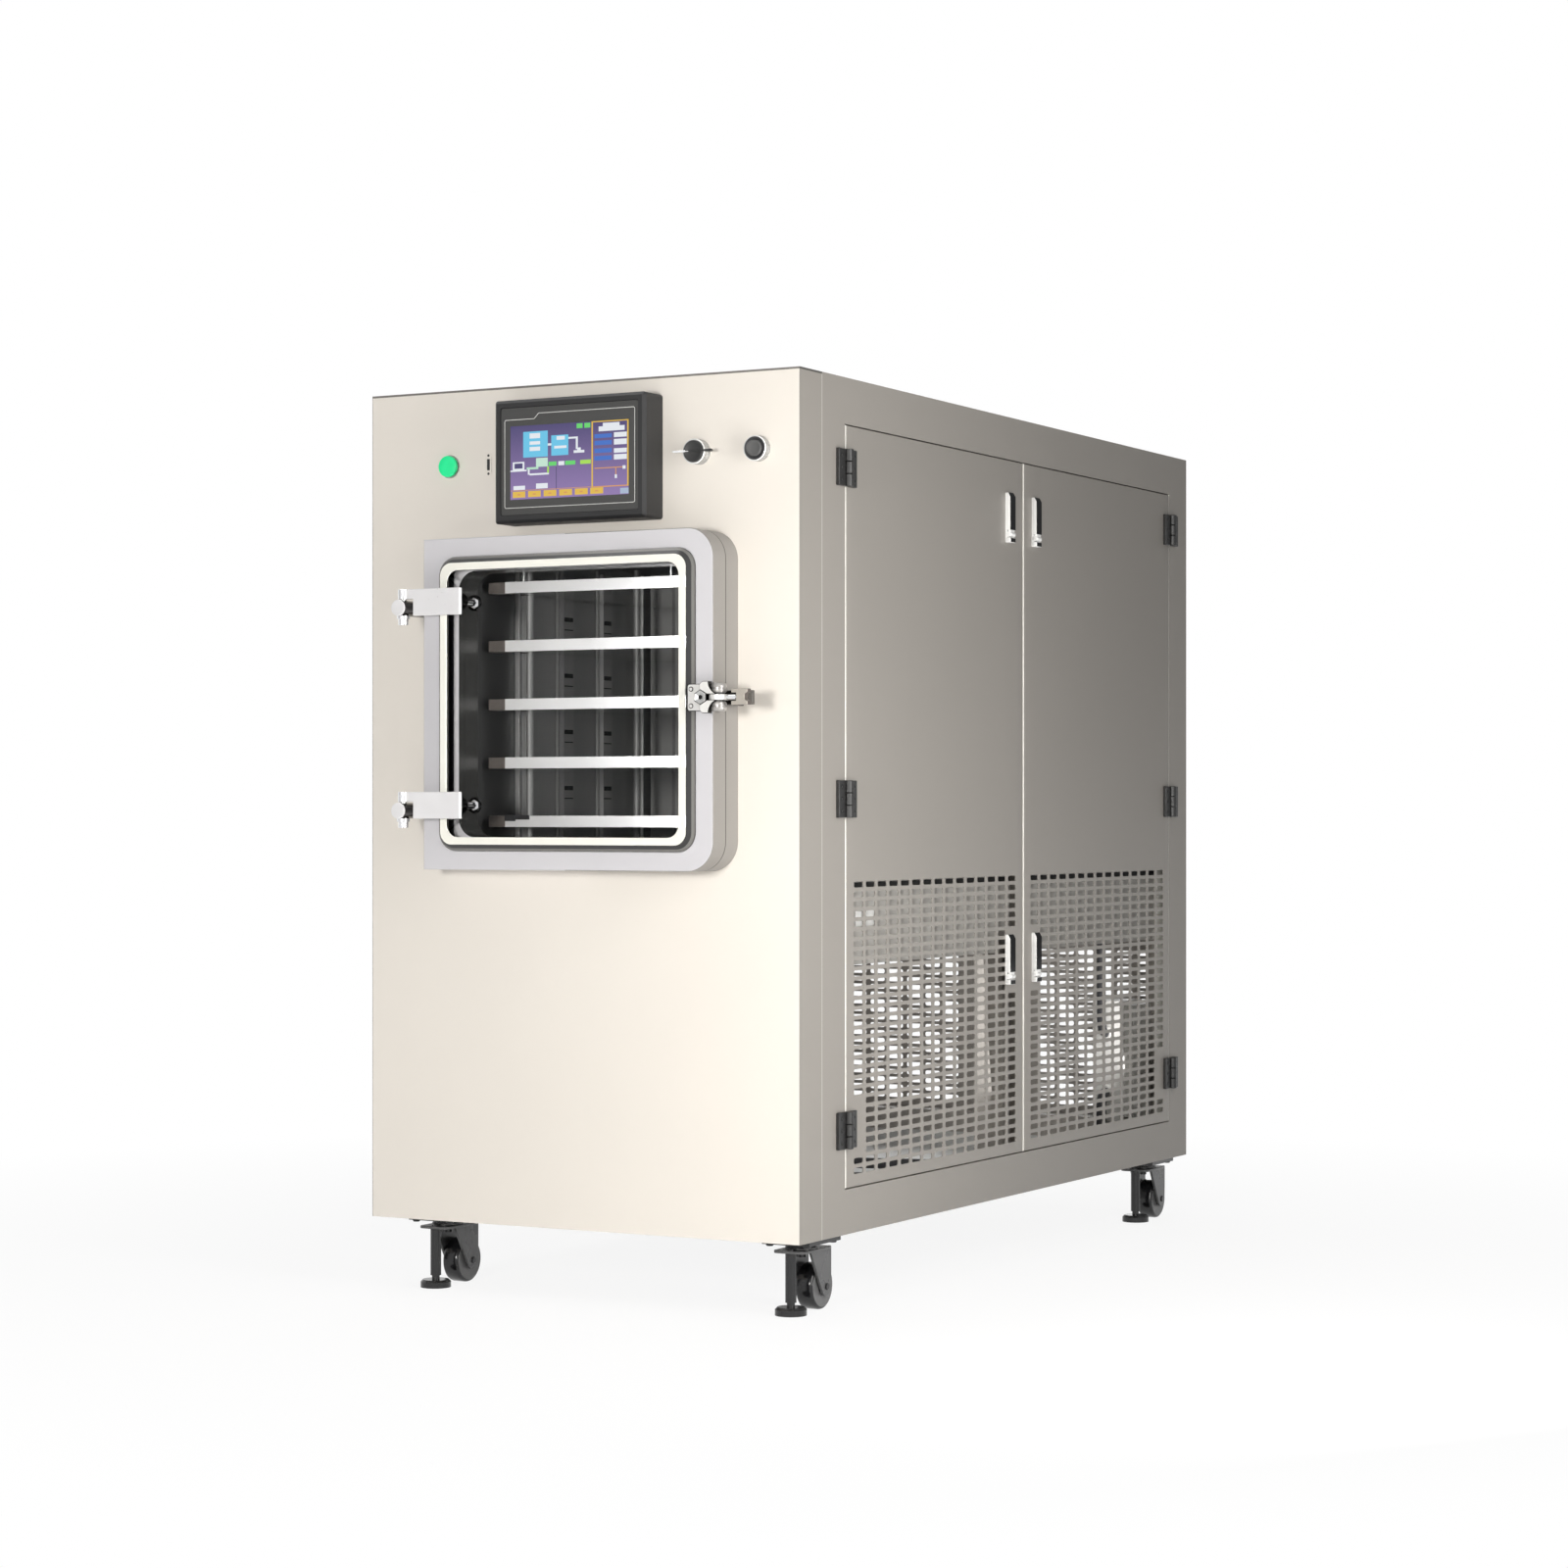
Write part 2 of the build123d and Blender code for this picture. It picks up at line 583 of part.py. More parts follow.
# ---- controls ----
def hmi_housing():
    """Touch panel housing: a bevelled frame with a recess for the screen, on the fascia."""
    width = PANEL_X[1] - PANEL_X[0]
    height = PANEL_RISE[1] - PANEL_RISE[0]
    mid_x = sum(PANEL_X) / 2
    mid_rise = sum(PANEL_RISE) / 2
    outline = facing_front(0, mid_x, mid_rise) * RectangleRounded(width, height, 4)
    body = extrude(outline, amount=PANEL_PROUD)
    body = chamfer(body.edges().group_by(Axis.Y)[0], 4)
    recess = facing_front(-PANEL_PROUD + 4, mid_x, mid_rise)
    screen = RectangleRounded(width - 2 * BEZEL, height - 2 * BEZEL, 3)
    return body - extrude(recess * screen, amount=5)


def hmi_screen():
    """Screen and its flat bezel, set into the housing."""
    width = PANEL_X[1] - PANEL_X[0] - 2 * BEZEL - 0.6
    height = PANEL_RISE[1] - PANEL_RISE[0] - 2 * BEZEL - 0.6
    back = facing_front(-PANEL_PROUD + 4, sum(PANEL_X) / 2, sum(PANEL_RISE) / 2)
    return extrude(back * RectangleRounded(width, height, 3), amount=3)


def usb_port():
    """Slim bezel with an upright socket between two screws, and its body behind the fascia."""
    bezel = extrude(facing_front(0, USB_X, CONTROL_RISE) * RectangleRounded(11, 33, 3), amount=1.2)
    body = block((USB_X - 4.5, USB_X + 4.5), (0, 22), (CONTROL_RISE - 9.5, CONTROL_RISE + 9.5))
    port = bezel + body
    port -= block((USB_X - 1.6, USB_X + 1.6), (-2, 14), (CONTROL_RISE - 7.5, CONTROL_RISE + 7.5))
    for step in (-12.5, 12.5):
        port += disc(facing_front(-1.2, USB_X, CONTROL_RISE + step), 2.2, 1.0)
    return port


COLLAR_R = 16.0
CAP_BORE_R = 11.0
SWITCH_BODY_R = 11.0
GREEN_PROUD = 8.0
BLACK_PROUD = 16.0
BUTTON_TRAVEL = 4.0


def switch(x, proud, radius, bore_radius, bore_depth):
    """A 22 mm panel switch without its moving part: collar, threaded body and contact block."""
    plane = facing_front(0, x, CONTROL_RISE)
    solid = disc(plane, radius, proud)
    solid += disc(facing_front(26, x, CONTROL_RISE), SWITCH_BODY_R, 26)
    solid += extrude(facing_front(58, x, CONTROL_RISE) * Rectangle(30, 40), amount=34)
    solid -= disc(facing_front(bore_depth - proud, x, CONTROL_RISE), bore_radius, bore_depth + 1)
    return solid


def switch_collars():
    """The fixed parts of the three switches."""
    return group([
        switch(GREEN_X, 2.0, 15.0, 10.0, 8.0),
        switch(SELECTOR_X, BLACK_PROUD, COLLAR_R, 4.0 + RUNNING, 16.0),
        switch(BLACK_X, BLACK_PROUD - 3, COLLAR_R, CAP_BORE_R, 10.0),
    ])


def green_button():
    """Wide flat cap over a short stem."""
    front = facing_front(-GREEN_PROUD + 3, GREEN_X, CONTROL_RISE)
    cap = disc(front, 14, 3)
    cap = chamfer(cap.edges().group_by(Axis.Y)[0], 0.8)
    return cap + disc(facing_front(2, GREEN_X, CONTROL_RISE), 9.7, GREEN_PROUD - 1)


def black_button():
    """Plain cap in the collar's bore."""
    depth = 10.0 - BLACK_PROUD + 3 - BUTTON_TRAVEL - 0.5
    cap = disc(facing_front(depth, BLACK_X, CONTROL_RISE), CAP_BORE_R - 0.3, BLACK_PROUD + depth)
    return chamfer(cap.edges().group_by(Axis.Y)[0], 0.8)


def selector_lever():
    """Round face with a thin cross bar, on a spindle in the collar."""
    face = facing_front(-BLACK_PROUD - 0.4, SELECTOR_X, CONTROL_RISE)
    lever = disc(face, 14, 2.6)
    bar = facing_front(-BLACK_PROUD - 3, SELECTOR_X, CONTROL_RISE)
    lever += extrude(bar * SlotOverall(57, 5), amount=6)
    return lever + disc(facing_front(-2, SELECTOR_X, CONTROL_RISE), 4.0, BLACK_PROUD)


# ---- side doors ----
HINGE_AXIS_OUT = 6.0                    # hinge axis in front of the door's face
LEAF_T = 5.0
LEAF_W = 25.0
LEAF_H = 48.0
KNUCKLE_H = 16.0
BARREL_R = 6.0
HINGE_PIN_R = 2.5


def columns_in_row(row):
    """Indices of the slots that a row really has: none under a hinge leaf or behind a latch."""
    first, last = 0, SLOT_COLUMNS - 1
    rise = TOP_ROW_RISE - ROW_PITCH * row
    if abs(rise - HINGE_RISES[-1]) < 36:
        first += 1
    if abs(rise - LATCH_RISES[-1]) < 42:
        last -= 1
    return list(range(first, last + 1))


def door_slots():
    """Rows of slots; the slots of a row are cut as one opening."""
    middle = (SLOT_COLUMNS - 1) / 2
    cuts = []
    for row in range(SLOT_ROWS):
        present = columns_in_row(row)
        width = (len(present) - 1) * COLUMN_PITCH + SLOT_W
        x = ((present[0] + present[-1]) / 2 - middle) * COLUMN_PITCH
        cuts.append(Pos(x, TOP_ROW_RISE - ROW_PITCH * row) * Rectangle(width, SLOT_H))
    return cuts


def hinge_leaf(rise):
    """A door's hinge leaf, with the middle knuckle."""
    axis_x = HALF_W + HINGE_AXIS_OUT
    middle = KNUCKLE_H / 2 - 0.3
    depth = DOOR_OPENING[0]
    rises = (rise - LEAF_H / 2, rise + LEAF_H / 2)
    leaf = block((HALF_W, HALF_W + LEAF_T), (depth + BARREL_R + 1, depth + LEAF_W), rises)
    bridge = (depth, depth + BARREL_R + 2)
    leaf += block((HALF_W + 1, HALF_W + LEAF_T), bridge, (rise - middle, rise + middle))
    knuckle = facing_up(rise - middle, axis_x, depth)
    leaf += disc(knuckle, BARREL_R, 2 * middle)
    return leaf - disc(knuckle, HINGE_PIN_R + RUNNING, 2 * middle)


def fixed_leaf(rise):
    """The frame's hinge leaf, with the outer knuckles and the pin."""
    axis_x = HALF_W + HINGE_AXIS_OUT
    depth = DOOR_OPENING[0]
    low = rise - LEAF_H / 2
    leaf = block((HALF_W, HALF_W + LEAF_T), (depth - LEAF_W, depth - BARREL_R - 1), (low, low + LEAF_H))
    for start in (low, rise + KNUCKLE_H / 2):
        leaf += block((HALF_W, HALF_W + LEAF_T), (depth - BARREL_R - 2, depth), (start, start + KNUCKLE_H))
        leaf += disc(facing_up(start, axis_x, depth), BARREL_R, KNUCKLE_H)
    return leaf + disc(facing_up(low, axis_x, depth), HINGE_PIN_R, LEAF_H)


def hinge_leaves():
    """The twelve leaves on the corner posts."""
    front = [fixed_leaf(rise) for rise in HINGE_RISES]
    right = front + [mirror(leaf, about=meeting_plane()) for leaf in front]
    return group(both_sides(right))


def meeting_plane():
    """The upright plane where a front door meets the rear one."""
    return Plane(origin=(0, FRONT_Y + DOOR_MEET, 0), x_dir=(1, 0, 0), z_dir=(0, 1, 0))


LATCH_W = 17.5
LATCH_H = 71.0
LATCH_BASE_T = 2.5
LEVER_PIVOT_DROP = 24.0
LEVER_PIVOT_OUT = 5.5
LEVER_HUB_W = 12.0


def latch_base(depth, rise):
    """Slim latch body on a door: a recessed plate, a foot, two ears and the pin for the lever."""
    plane = facing_right(HALF_W, depth, rise)
    base = extrude(plane * RectangleRounded(LATCH_W, LATCH_H, 2), amount=LATCH_BASE_T)
    base -= extrude(facing_right(HALF_W + 1, depth, rise) * Rectangle(13, LATCH_H - 6), amount=5)
    depths = (depth - LATCH_W / 2, depth + LATCH_W / 2)
    base += block((HALF_W + 0.5, HALF_W + 8), depths, (rise - LATCH_H / 2, rise - LATCH_H / 2 + 7))
    pivot_rise = rise - LEVER_PIVOT_DROP
    for side in (-1, 1):
        near = sorted((depth + side * (LEVER_HUB_W / 2 + 0.4), depth + side * LATCH_W / 2))
        base += block((HALF_W + 0.5, HALF_W + LEVER_PIVOT_OUT + 3), near, (pivot_rise - 4, pivot_rise + 4))
    pin = facing_back(depth - LATCH_W / 2 + 1, HALF_W + LEVER_PIVOT_OUT, pivot_rise)
    return base + disc(pin, 1.5, LATCH_W - 2)


def latch_lever(depth, rise):
    """Straight bar that stands up from its pivot, cut to a slant at the top."""
    pivot_rise = rise - LEVER_PIVOT_DROP
    hub = facing_back(depth - LEVER_HUB_W / 2, HALF_W + LEVER_PIVOT_OUT, pivot_rise)
    lever = disc(hub, 3.4, LEVER_HUB_W)
    top = LATCH_H / 2 + LEVER_PIVOT_DROP
    neck = Polyline((-2.4, 0), (-2.4, 9), (2.6, 9), (2.6, 0), close=True)
    side = facing_front(depth, HALF_W + LEVER_PIVOT_OUT, pivot_rise)
    lever += extrude(side * make_face(neck), amount=LEVER_HUB_W / 2, both=True)
    bar = Polyline((-2.4, 6), (-2.4, top), (-1, top), (2.6, top - 6), (2.6, 6), close=True)
    lever += extrude(side * make_face(bar), amount=LATCH_W / 2, both=True)
    return lever - disc(hub.offset(-1), 1.5 + RUNNING, LEVER_HUB_W + 2)


def side_door(latch_inset):
    """The right-hand front door: a folded tray with slots, hinge leaves and two latch bodies."""
    depths = (DOOR_OPENING[0] + DOOR_GAP, DOOR_MEET - DOOR_GAP)
    rises = (BOTTOM_RAIL_H + DOOR_GAP, TOP_RAIL_RISE - DOOR_GAP)
    door = tray((HALF_W - DOOR_RETURN, HALF_W), depths, rises, Axis.X, False, SHEET)
    middle = DOOR_OPENING[0] + DOOR_W / 2
    plane = facing_right(HALF_W - SHEET - 1, middle)
    door -= extrude(plane * Sketch(children=door_slots()), amount=SHEET + 2)
    for rise in HINGE_RISES:
        door += hinge_leaf(rise)
    for rise in LATCH_RISES:
        door += latch_base(DOOR_MEET - latch_inset, rise)
    return door


def on_each_door(made):
    """Four copies of something made at a latch inset on the right front door, by the door's name."""
    right_front = made(FRONT_LATCH_INSET)
    right_rear = mirror(made(REAR_LATCH_INSET), about=meeting_plane())
    return {
        "right_front": right_front,
        "right_rear": right_rear,
        "left_front": mirror(right_front, about=Plane.YZ),
        "left_rear": mirror(right_rear, about=Plane.YZ),
    }


# ---- machinery ----
TRAP_R = 180.0
TRAP_START = 560.0
TRAP_LENGTH = 440.0
TRAP_WALL = 4.0


def cold_trap():
    """Horizontal ice-condenser vessel behind the chamber, open to it through a neck."""
    wall = TRAP_WALL
    length = TRAP_LENGTH
    neck = TRAP_START - SHELL_L
    outer = [(-neck, PORT_R), (-neck, PORT_R + wall), (0, PORT_R + wall), (0, TRAP_R)]
    outer += [(length, TRAP_R), (length + 40, TRAP_R * 0.75), (length + 58, 0)]
    inner = [(length + 58 - wall, 0), (length + 38, TRAP_R * 0.75 - wall), (length - 1, TRAP_R - wall)]
    inner += [(wall, TRAP_R - wall), (wall, PORT_R)]
    axis_x = Plane(
        origin=at(CHAMBER_X, TRAP_START, PORT_RISE).position, x_dir=(0, 1, 0), z_dir=(1, 0, 0)
    )
    profile = make_face(Polyline(*(outer + inner), close=True))
    vessel = revolve(axis_x * profile, Axis(axis_x.origin, (0, 1, 0)))
    for depth in (TRAP_START + 80, TRAP_START + 340):
        xs = (CHAMBER_X - 120, CHAMBER_X + 120)
        saddle = block(xs, (depth, depth + 20), (DECK_RISE + SHEET, PORT_RISE - 120))
        core = facing_back(depth - 1, CHAMBER_X, PORT_RISE)
        vessel += saddle - disc(core, TRAP_R - wall / 2, 22)
    return vessel


PAN_TOP = TUBE_WALL


def vacuum_pump():
    """Rotary vane pump: finned oil case, motor and end cover on a foot plate."""
    x, start = -185.0, 190.0
    foot = block((x - 75, x + 75), (start, start + 360), (PAN_TOP, PAN_TOP + 8))
    case = block((x - 70, x + 70), (start, start + 170), (PAN_TOP + 8, PAN_TOP + 190))
    for i in range(6):
        depth = start + 12 + 27 * i
        case -= block((x - 71, x - 62), (depth, depth + 12), (PAN_TOP + 30, PAN_TOP + 170))
        case -= block((x + 62, x + 71), (depth, depth + 12), (PAN_TOP + 30, PAN_TOP + 170))
    axis = facing_back(start + 169, x, PAN_TOP + 92)
    motor = disc(axis, 72, 170)
    cover = disc(axis.offset(170), 76, 22)
    riser = block((x - 20, x + 20), (start + 180, start + 320), (PAN_TOP + 7, PAN_TOP + 30))
    outlet = disc(facing_up(PAN_TOP + 189, x, start + 60), 16, 30)
    return foot + case + motor + cover + riser + outlet


def compressor():
    """Hermetic compressor pot on three feet, with its service stub."""
    x, depth = -150.0, 770.0
    base = facing_up(PAN_TOP, x, depth)
    half = 92.0
    profile = Polyline(
        (0, 22), (half - 22, 22), (half, 44), (half, 200), (half - 24, 238), (0, 250), close=True
    )
    upright = Plane(origin=base.origin, x_dir=(1, 0, 0), z_dir=(0, -1, 0))
    pot = revolve(upright * make_face(profile), Axis(base.origin, (0, 0, 1)))
    plate = extrude(facing_up(PAN_TOP + 12, x, depth) * RegularPolygon(118, 3), amount=6)
    solid = pot + plate + disc(facing_up(PAN_TOP + 12, x, depth), 60, 12)
    for corner in PolarLocations(96, 3):
        solid += base * corner * Pos(0, 0, 7) * Cylinder(13, 14)
    return solid


COIL_X = (-284.0, -232.0)
COIL_DEPTH = (862.0, 1122.0)
COIL_RISE = (PAN_TOP, 280.0)
FAN_DEPTH = sum(COIL_DEPTH) / 2
FAN_RISE = 150.0
FAN_SHAFT_R = 4.0


def condenser():
    """Finned condenser behind the left door, with the fan's shroud and motor on its inner side."""
    coil = block(COIL_X, COIL_DEPTH, COIL_RISE)
    pitch = (COIL_DEPTH[1] - COIL_DEPTH[0] - 10) / 12
    for i in range(12):
        depth = COIL_DEPTH[0] + 10 + pitch * i
        gap = (depth, depth + pitch - 6)
        coil -= block((COIL_X[0] - 1, COIL_X[1] - 14), gap, (COIL_RISE[0] + 10, COIL_RISE[1] - 10))
    shroud = facing_right(COIL_X[1] - 1, FAN_DEPTH, FAN_RISE)
    coil += extrude(shroud * (Circle(112) - Circle(104)), amount=44)
    for spoke in PolarLocations(70, 3):
        coil += shroud * spoke * Pos(0, 0, 5) * Box(76, 8, 8)
    coil += extrude(shroud * Circle(36), amount=20)
    return coil + disc(facing_right(COIL_X[1], FAN_DEPTH, FAN_RISE), FAN_SHAFT_R, 46)


def condenser_fan():
    """Five-bladed fan on the motor's shaft."""
    hub = facing_right(COIL_X[1] + 20, FAN_DEPTH, FAN_RISE)
    fan = disc(hub, 28, 20)
    for blade in PolarLocations(62, 5):
        fan += hub * blade * Pos(0, 0, 10) * Rot(32, 0, 0) * Box(74, 30, 2.5)
    return fan - disc(hub.offset(-1), FAN_SHAFT_R + RUNNING, 22)


def electrical_box():
    """Terminal box at the rear right corner, with a lid and two glands."""
    body = block((235, 285), (1140, 1224), (64, 250))
    body = chamfer(body.edges().group_by(Axis.X)[-1], 3)
    body += block((284, 300), (1146, 1218), (70, 244))
    for rise in (110.0, 200.0):
        body += disc(facing_front(1141, 260, rise), 10, 16)
    return body + block((240, 280), (1180, 1220), (PAN_TOP, 66))


# ---- casters ----
def caster_places():
    """Plate centres by the caster's name."""
    return {
        f"{front}_{side}": (x, depth)
        for front, depth in CASTER_DEPTHS.items()
        for side, x in CASTER_XS.items()
    }


PLATE_T = 5.0
SWIVEL_R = 12.0


def caster_plates():
    """Top plates under the rails, each with a swivel boss."""
    plates = []
    for x, depth in caster_places().values():
        plate = extrude(facing_up(-PLATE_T, x, depth) * Rectangle(69, 85), amount=PLATE_T)
        boss = disc(facing_up(-PLATE_T - 5, x, depth), SWIVEL_R + 6, 6)
        kingpin = disc(facing_up(-PLATE_T - 19, x, depth), 6, 16)
        plates.append(plate + boss + kingpin)
    return group(plates)


FORK_TOP = -PLATE_T - 5.5
CHEEK_T = 4.0
AXLE_R = 4.0
AXLE_RISE = WHEEL_R - CASTER_H


def caster_fork(x, depth):
    """Swivel body: a round head, two cheeks that rake back to the axle, and a nose for the foot."""
    head = facing_up(FORK_TOP - 9, x, depth)
    outline = Circle(25) + Pos(0, -FOOT_LEAD / 2) * Rectangle(19, FOOT_LEAD) + Pos(0, -FOOT_LEAD) * Circle(9.5)
    fork = extrude(head * outline, amount=9)
    cheek = Polyline(
        (-22, FORK_TOP - 8), (20, FORK_TOP - 8), (WHEEL_TRAIL + 12, AXLE_RISE + 6),
        (WHEEL_TRAIL + 8, AXLE_RISE - 10), (WHEEL_TRAIL - 10, AXLE_RISE - 8),
        (-16, FORK_TOP - 26), close=True,
    )
    inner = WHEEL_W / 2 + 1.5
    for side in (inner, -inner - CHEEK_T):
        fork += extrude(facing_right(x + side, depth) * make_face(cheek), amount=CHEEK_T)
    reach = inner + CHEEK_T + 2
    fork += disc(facing_right(x - reach, depth + WHEEL_TRAIL, AXLE_RISE), AXLE_R, 2 * reach)
    nose = facing_up(FORK_TOP - 15, x, depth - FOOT_LEAD)
    fork += disc(nose, 9.5, 15)
    fork -= disc(nose.offset(-1), FOOT_STEM_R + RUNNING, 26)
    return fork - disc(facing_up(FORK_TOP - 10, x, depth), 6 + RUNNING, 12)


def caster_wheel(x, depth):
    """Wheel with bevelled tread edges."""
    half = WHEEL_W / 2
    bore = AXLE_R + RUNNING
    profile = Polyline(
        (bore, half), (WHEEL_R - 3, half), (WHEEL_R, half - 4), (WHEEL_R, 4 - half),
        (WHEEL_R - 3, -half), (bore, -half), close=True,
    )
    centre = at(x, depth + WHEEL_TRAIL, AXLE_RISE).position
    section = Plane(origin=centre, x_dir=(0, 0, 1), z_dir=(0, -1, 0))
    return revolve(section * make_face(profile), Axis(centre, (1, 0, 0)))


FOOT_STEM_R = 5.25


def levelling_foot(x, depth):
    """Screw foot: a round pad, a lock nut and the stem through the fork's nose."""
    pad = facing_up(-CASTER_H, x, depth - FOOT_LEAD)
    foot = disc(pad, FOOT_PAD_R, 10.5)
    foot = chamfer(foot.edges().group_by(Axis.Z)[-1], 3)
    foot += disc(pad.offset(10), FOOT_STEM_R, CASTER_H + FORK_TOP - 10 - 1)
    return foot + disc(pad.offset(16), 7.2, 26)


# ---- assembly ----
def build():
    """Every node of the freeze dryer, by name."""
    nodes = {
        "frame_uprights": frame_uprights(),
        "frame_rails": frame_rails(),
        "base_pan": base_pan(),
        "equipment_deck": equipment_deck(),
        "front_fascia": front_fascia(),
        "top_cover": top_cover(),
        "rear_cover": rear_cover(),
        "chamber_flange": chamber_flange(),
        "chamber_seal": chamber_seal(),
        "chamber_body": chamber_body(),
        "shelves": shelves(),
        "shelf_posts": shelf_posts(),
        "rear_baffle": rear_baffle(),
        "door_frame": door_frame(),
        "window_pane": window_pane(),
        "window_ring": window_ring(),
        "hinge_arms": hinge_arms(),
        "hinge_posts": hinge_posts(),
        "latch_plate": latch_plate(),
        "latch_rod": latch_rod(),
        "latch_keeper": latch_keeper(),
        "hmi_housing": hmi_housing(),
        "hmi_screen": hmi_screen(),
        "usb_port": usb_port(),
        "switch_collars": switch_collars(),
        "green_button": green_button(),
        "black_button": black_button(),
        "selector_lever": selector_lever(),
        "hinge_leaves": hinge_leaves(),
        "cold_trap": cold_trap(),
        "vacuum_pump": vacuum_pump(),
        "compressor": compressor(),
        "condenser": condenser(),
        "condenser_fan": condenser_fan(),
        "electrical_box": electrical_box(),
        "caster_plates": caster_plates(),
    }
    for name, door in on_each_door(side_door).items():
        nodes[f"side_door_{name}"] = door
    for height, rise in zip(("upper", "lower"), LATCH_RISES):
        for name, lever in on_each_door(lambda inset: latch_lever(DOOR_MEET - inset, rise)).items():
            nodes[f"lever_{name}_{height}"] = lever
    for name, place in caster_places().items():
        nodes[f"caster_fork_{name}"] = caster_fork(*place)
        nodes[f"caster_wheel_{name}"] = caster_wheel(*place)
        nodes[f"levelling_foot_{name}"] = levelling_foot(*place)
    return nodes


os.makedirs("parts", exist_ok=True)
for node_name, shape in build().items():
    export_step(shape, f"parts/{node_name}.step")
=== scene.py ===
# %% [markdown]
# # A freeze dryer, one step at a time
# A freeze dryer for a small laboratory: a steel cabinet on casters, a shelf chamber behind a window
# door, a touch panel, and perforated service doors over the pump and the compressor.
# The measured model comes first. It gives every place and every moving body, and what is made here
# only gives it its looks, so nothing below changes a size.

# %% Load the measured model
import contextlib
import json
import math

import bmesh
import bpy
from mathutils import Matrix, Vector


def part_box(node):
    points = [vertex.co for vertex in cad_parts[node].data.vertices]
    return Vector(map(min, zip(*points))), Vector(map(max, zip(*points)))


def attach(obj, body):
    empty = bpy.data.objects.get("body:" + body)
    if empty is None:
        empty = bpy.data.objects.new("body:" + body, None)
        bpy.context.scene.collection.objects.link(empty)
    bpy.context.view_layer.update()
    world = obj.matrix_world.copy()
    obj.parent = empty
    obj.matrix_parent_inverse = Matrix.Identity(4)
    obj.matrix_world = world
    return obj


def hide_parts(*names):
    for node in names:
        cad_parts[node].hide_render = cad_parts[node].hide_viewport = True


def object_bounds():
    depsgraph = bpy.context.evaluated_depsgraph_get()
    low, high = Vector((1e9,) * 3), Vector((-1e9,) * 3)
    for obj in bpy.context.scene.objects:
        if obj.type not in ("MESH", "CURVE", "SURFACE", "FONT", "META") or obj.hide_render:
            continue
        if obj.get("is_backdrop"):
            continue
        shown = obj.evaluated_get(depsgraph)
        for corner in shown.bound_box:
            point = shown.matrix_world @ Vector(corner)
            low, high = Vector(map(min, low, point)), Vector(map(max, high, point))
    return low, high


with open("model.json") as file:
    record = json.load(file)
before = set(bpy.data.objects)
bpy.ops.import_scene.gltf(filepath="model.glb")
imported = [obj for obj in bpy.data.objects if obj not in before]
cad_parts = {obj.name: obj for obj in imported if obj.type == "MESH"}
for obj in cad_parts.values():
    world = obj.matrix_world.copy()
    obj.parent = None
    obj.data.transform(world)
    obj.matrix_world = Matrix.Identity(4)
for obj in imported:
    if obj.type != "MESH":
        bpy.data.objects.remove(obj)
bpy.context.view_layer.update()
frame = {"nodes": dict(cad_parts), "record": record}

# %% [markdown]
# ## Places
# The maker's drawing of this machine speaks of three things: how far to the right of the middle a
# place is, how deep behind the front sheet, and how high above the cabinet's underside, all in
# millimetres. Blender works in metres, so one helper turns such a place into a point.

# %% Places in millimetres
MM = 0.001
TINY = 0.01 * MM
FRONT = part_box("front_fascia")[0].y
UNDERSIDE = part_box("front_fascia")[0].z


def spot(x, depth, rise):
    """A point in metres, from millimetres across, back from the front sheet, and up."""
    return Vector((x * MM, FRONT + depth * MM, UNDERSIDE + rise * MM))


low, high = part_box("front_fascia")
print("front sheet", [round(v / MM) for v in high - low], "mm across, deep and high")

# %% [markdown]
# ## Shader sums
# A finish is a recipe of nodes. Written out one by one they hide what they mean, so `Amount` wraps a
# node's output and lets it be added, multiplied or compared in a plain expression. `Recipe` is one
# node tree: it makes any node from its type, its settings and what goes into it. `Finish` is a
# material with a recipe for its surface.

# %% Amount, Recipe and Finish
def sums(operation, backwards=False):
    """An operator between amounts, as a method that makes one maths node."""
    def method(self, other=0.0):
        first, second = (other, self) if backwards else (self, other)
        return self.recipe.node("ShaderNodeMath", {"operation": operation}, {0: first, 1: second})

    return method


class Amount:
    """A node's output, with the sums that the recipes need."""

    def __init__(self, recipe, socket):
        self.recipe, self.socket = recipe, socket

    __add__ = __radd__ = sums("ADD")
    __mul__ = __rmul__ = sums("MULTIPLY")
    __sub__, __rsub__ = sums("SUBTRACT"), sums("SUBTRACT", backwards=True)
    __gt__, __lt__ = sums("GREATER_THAN"), sums("LESS_THAN")
    __abs__, larger, ping_pong = sums("ABSOLUTE"), sums("MAXIMUM"), sums("PINGPONG")


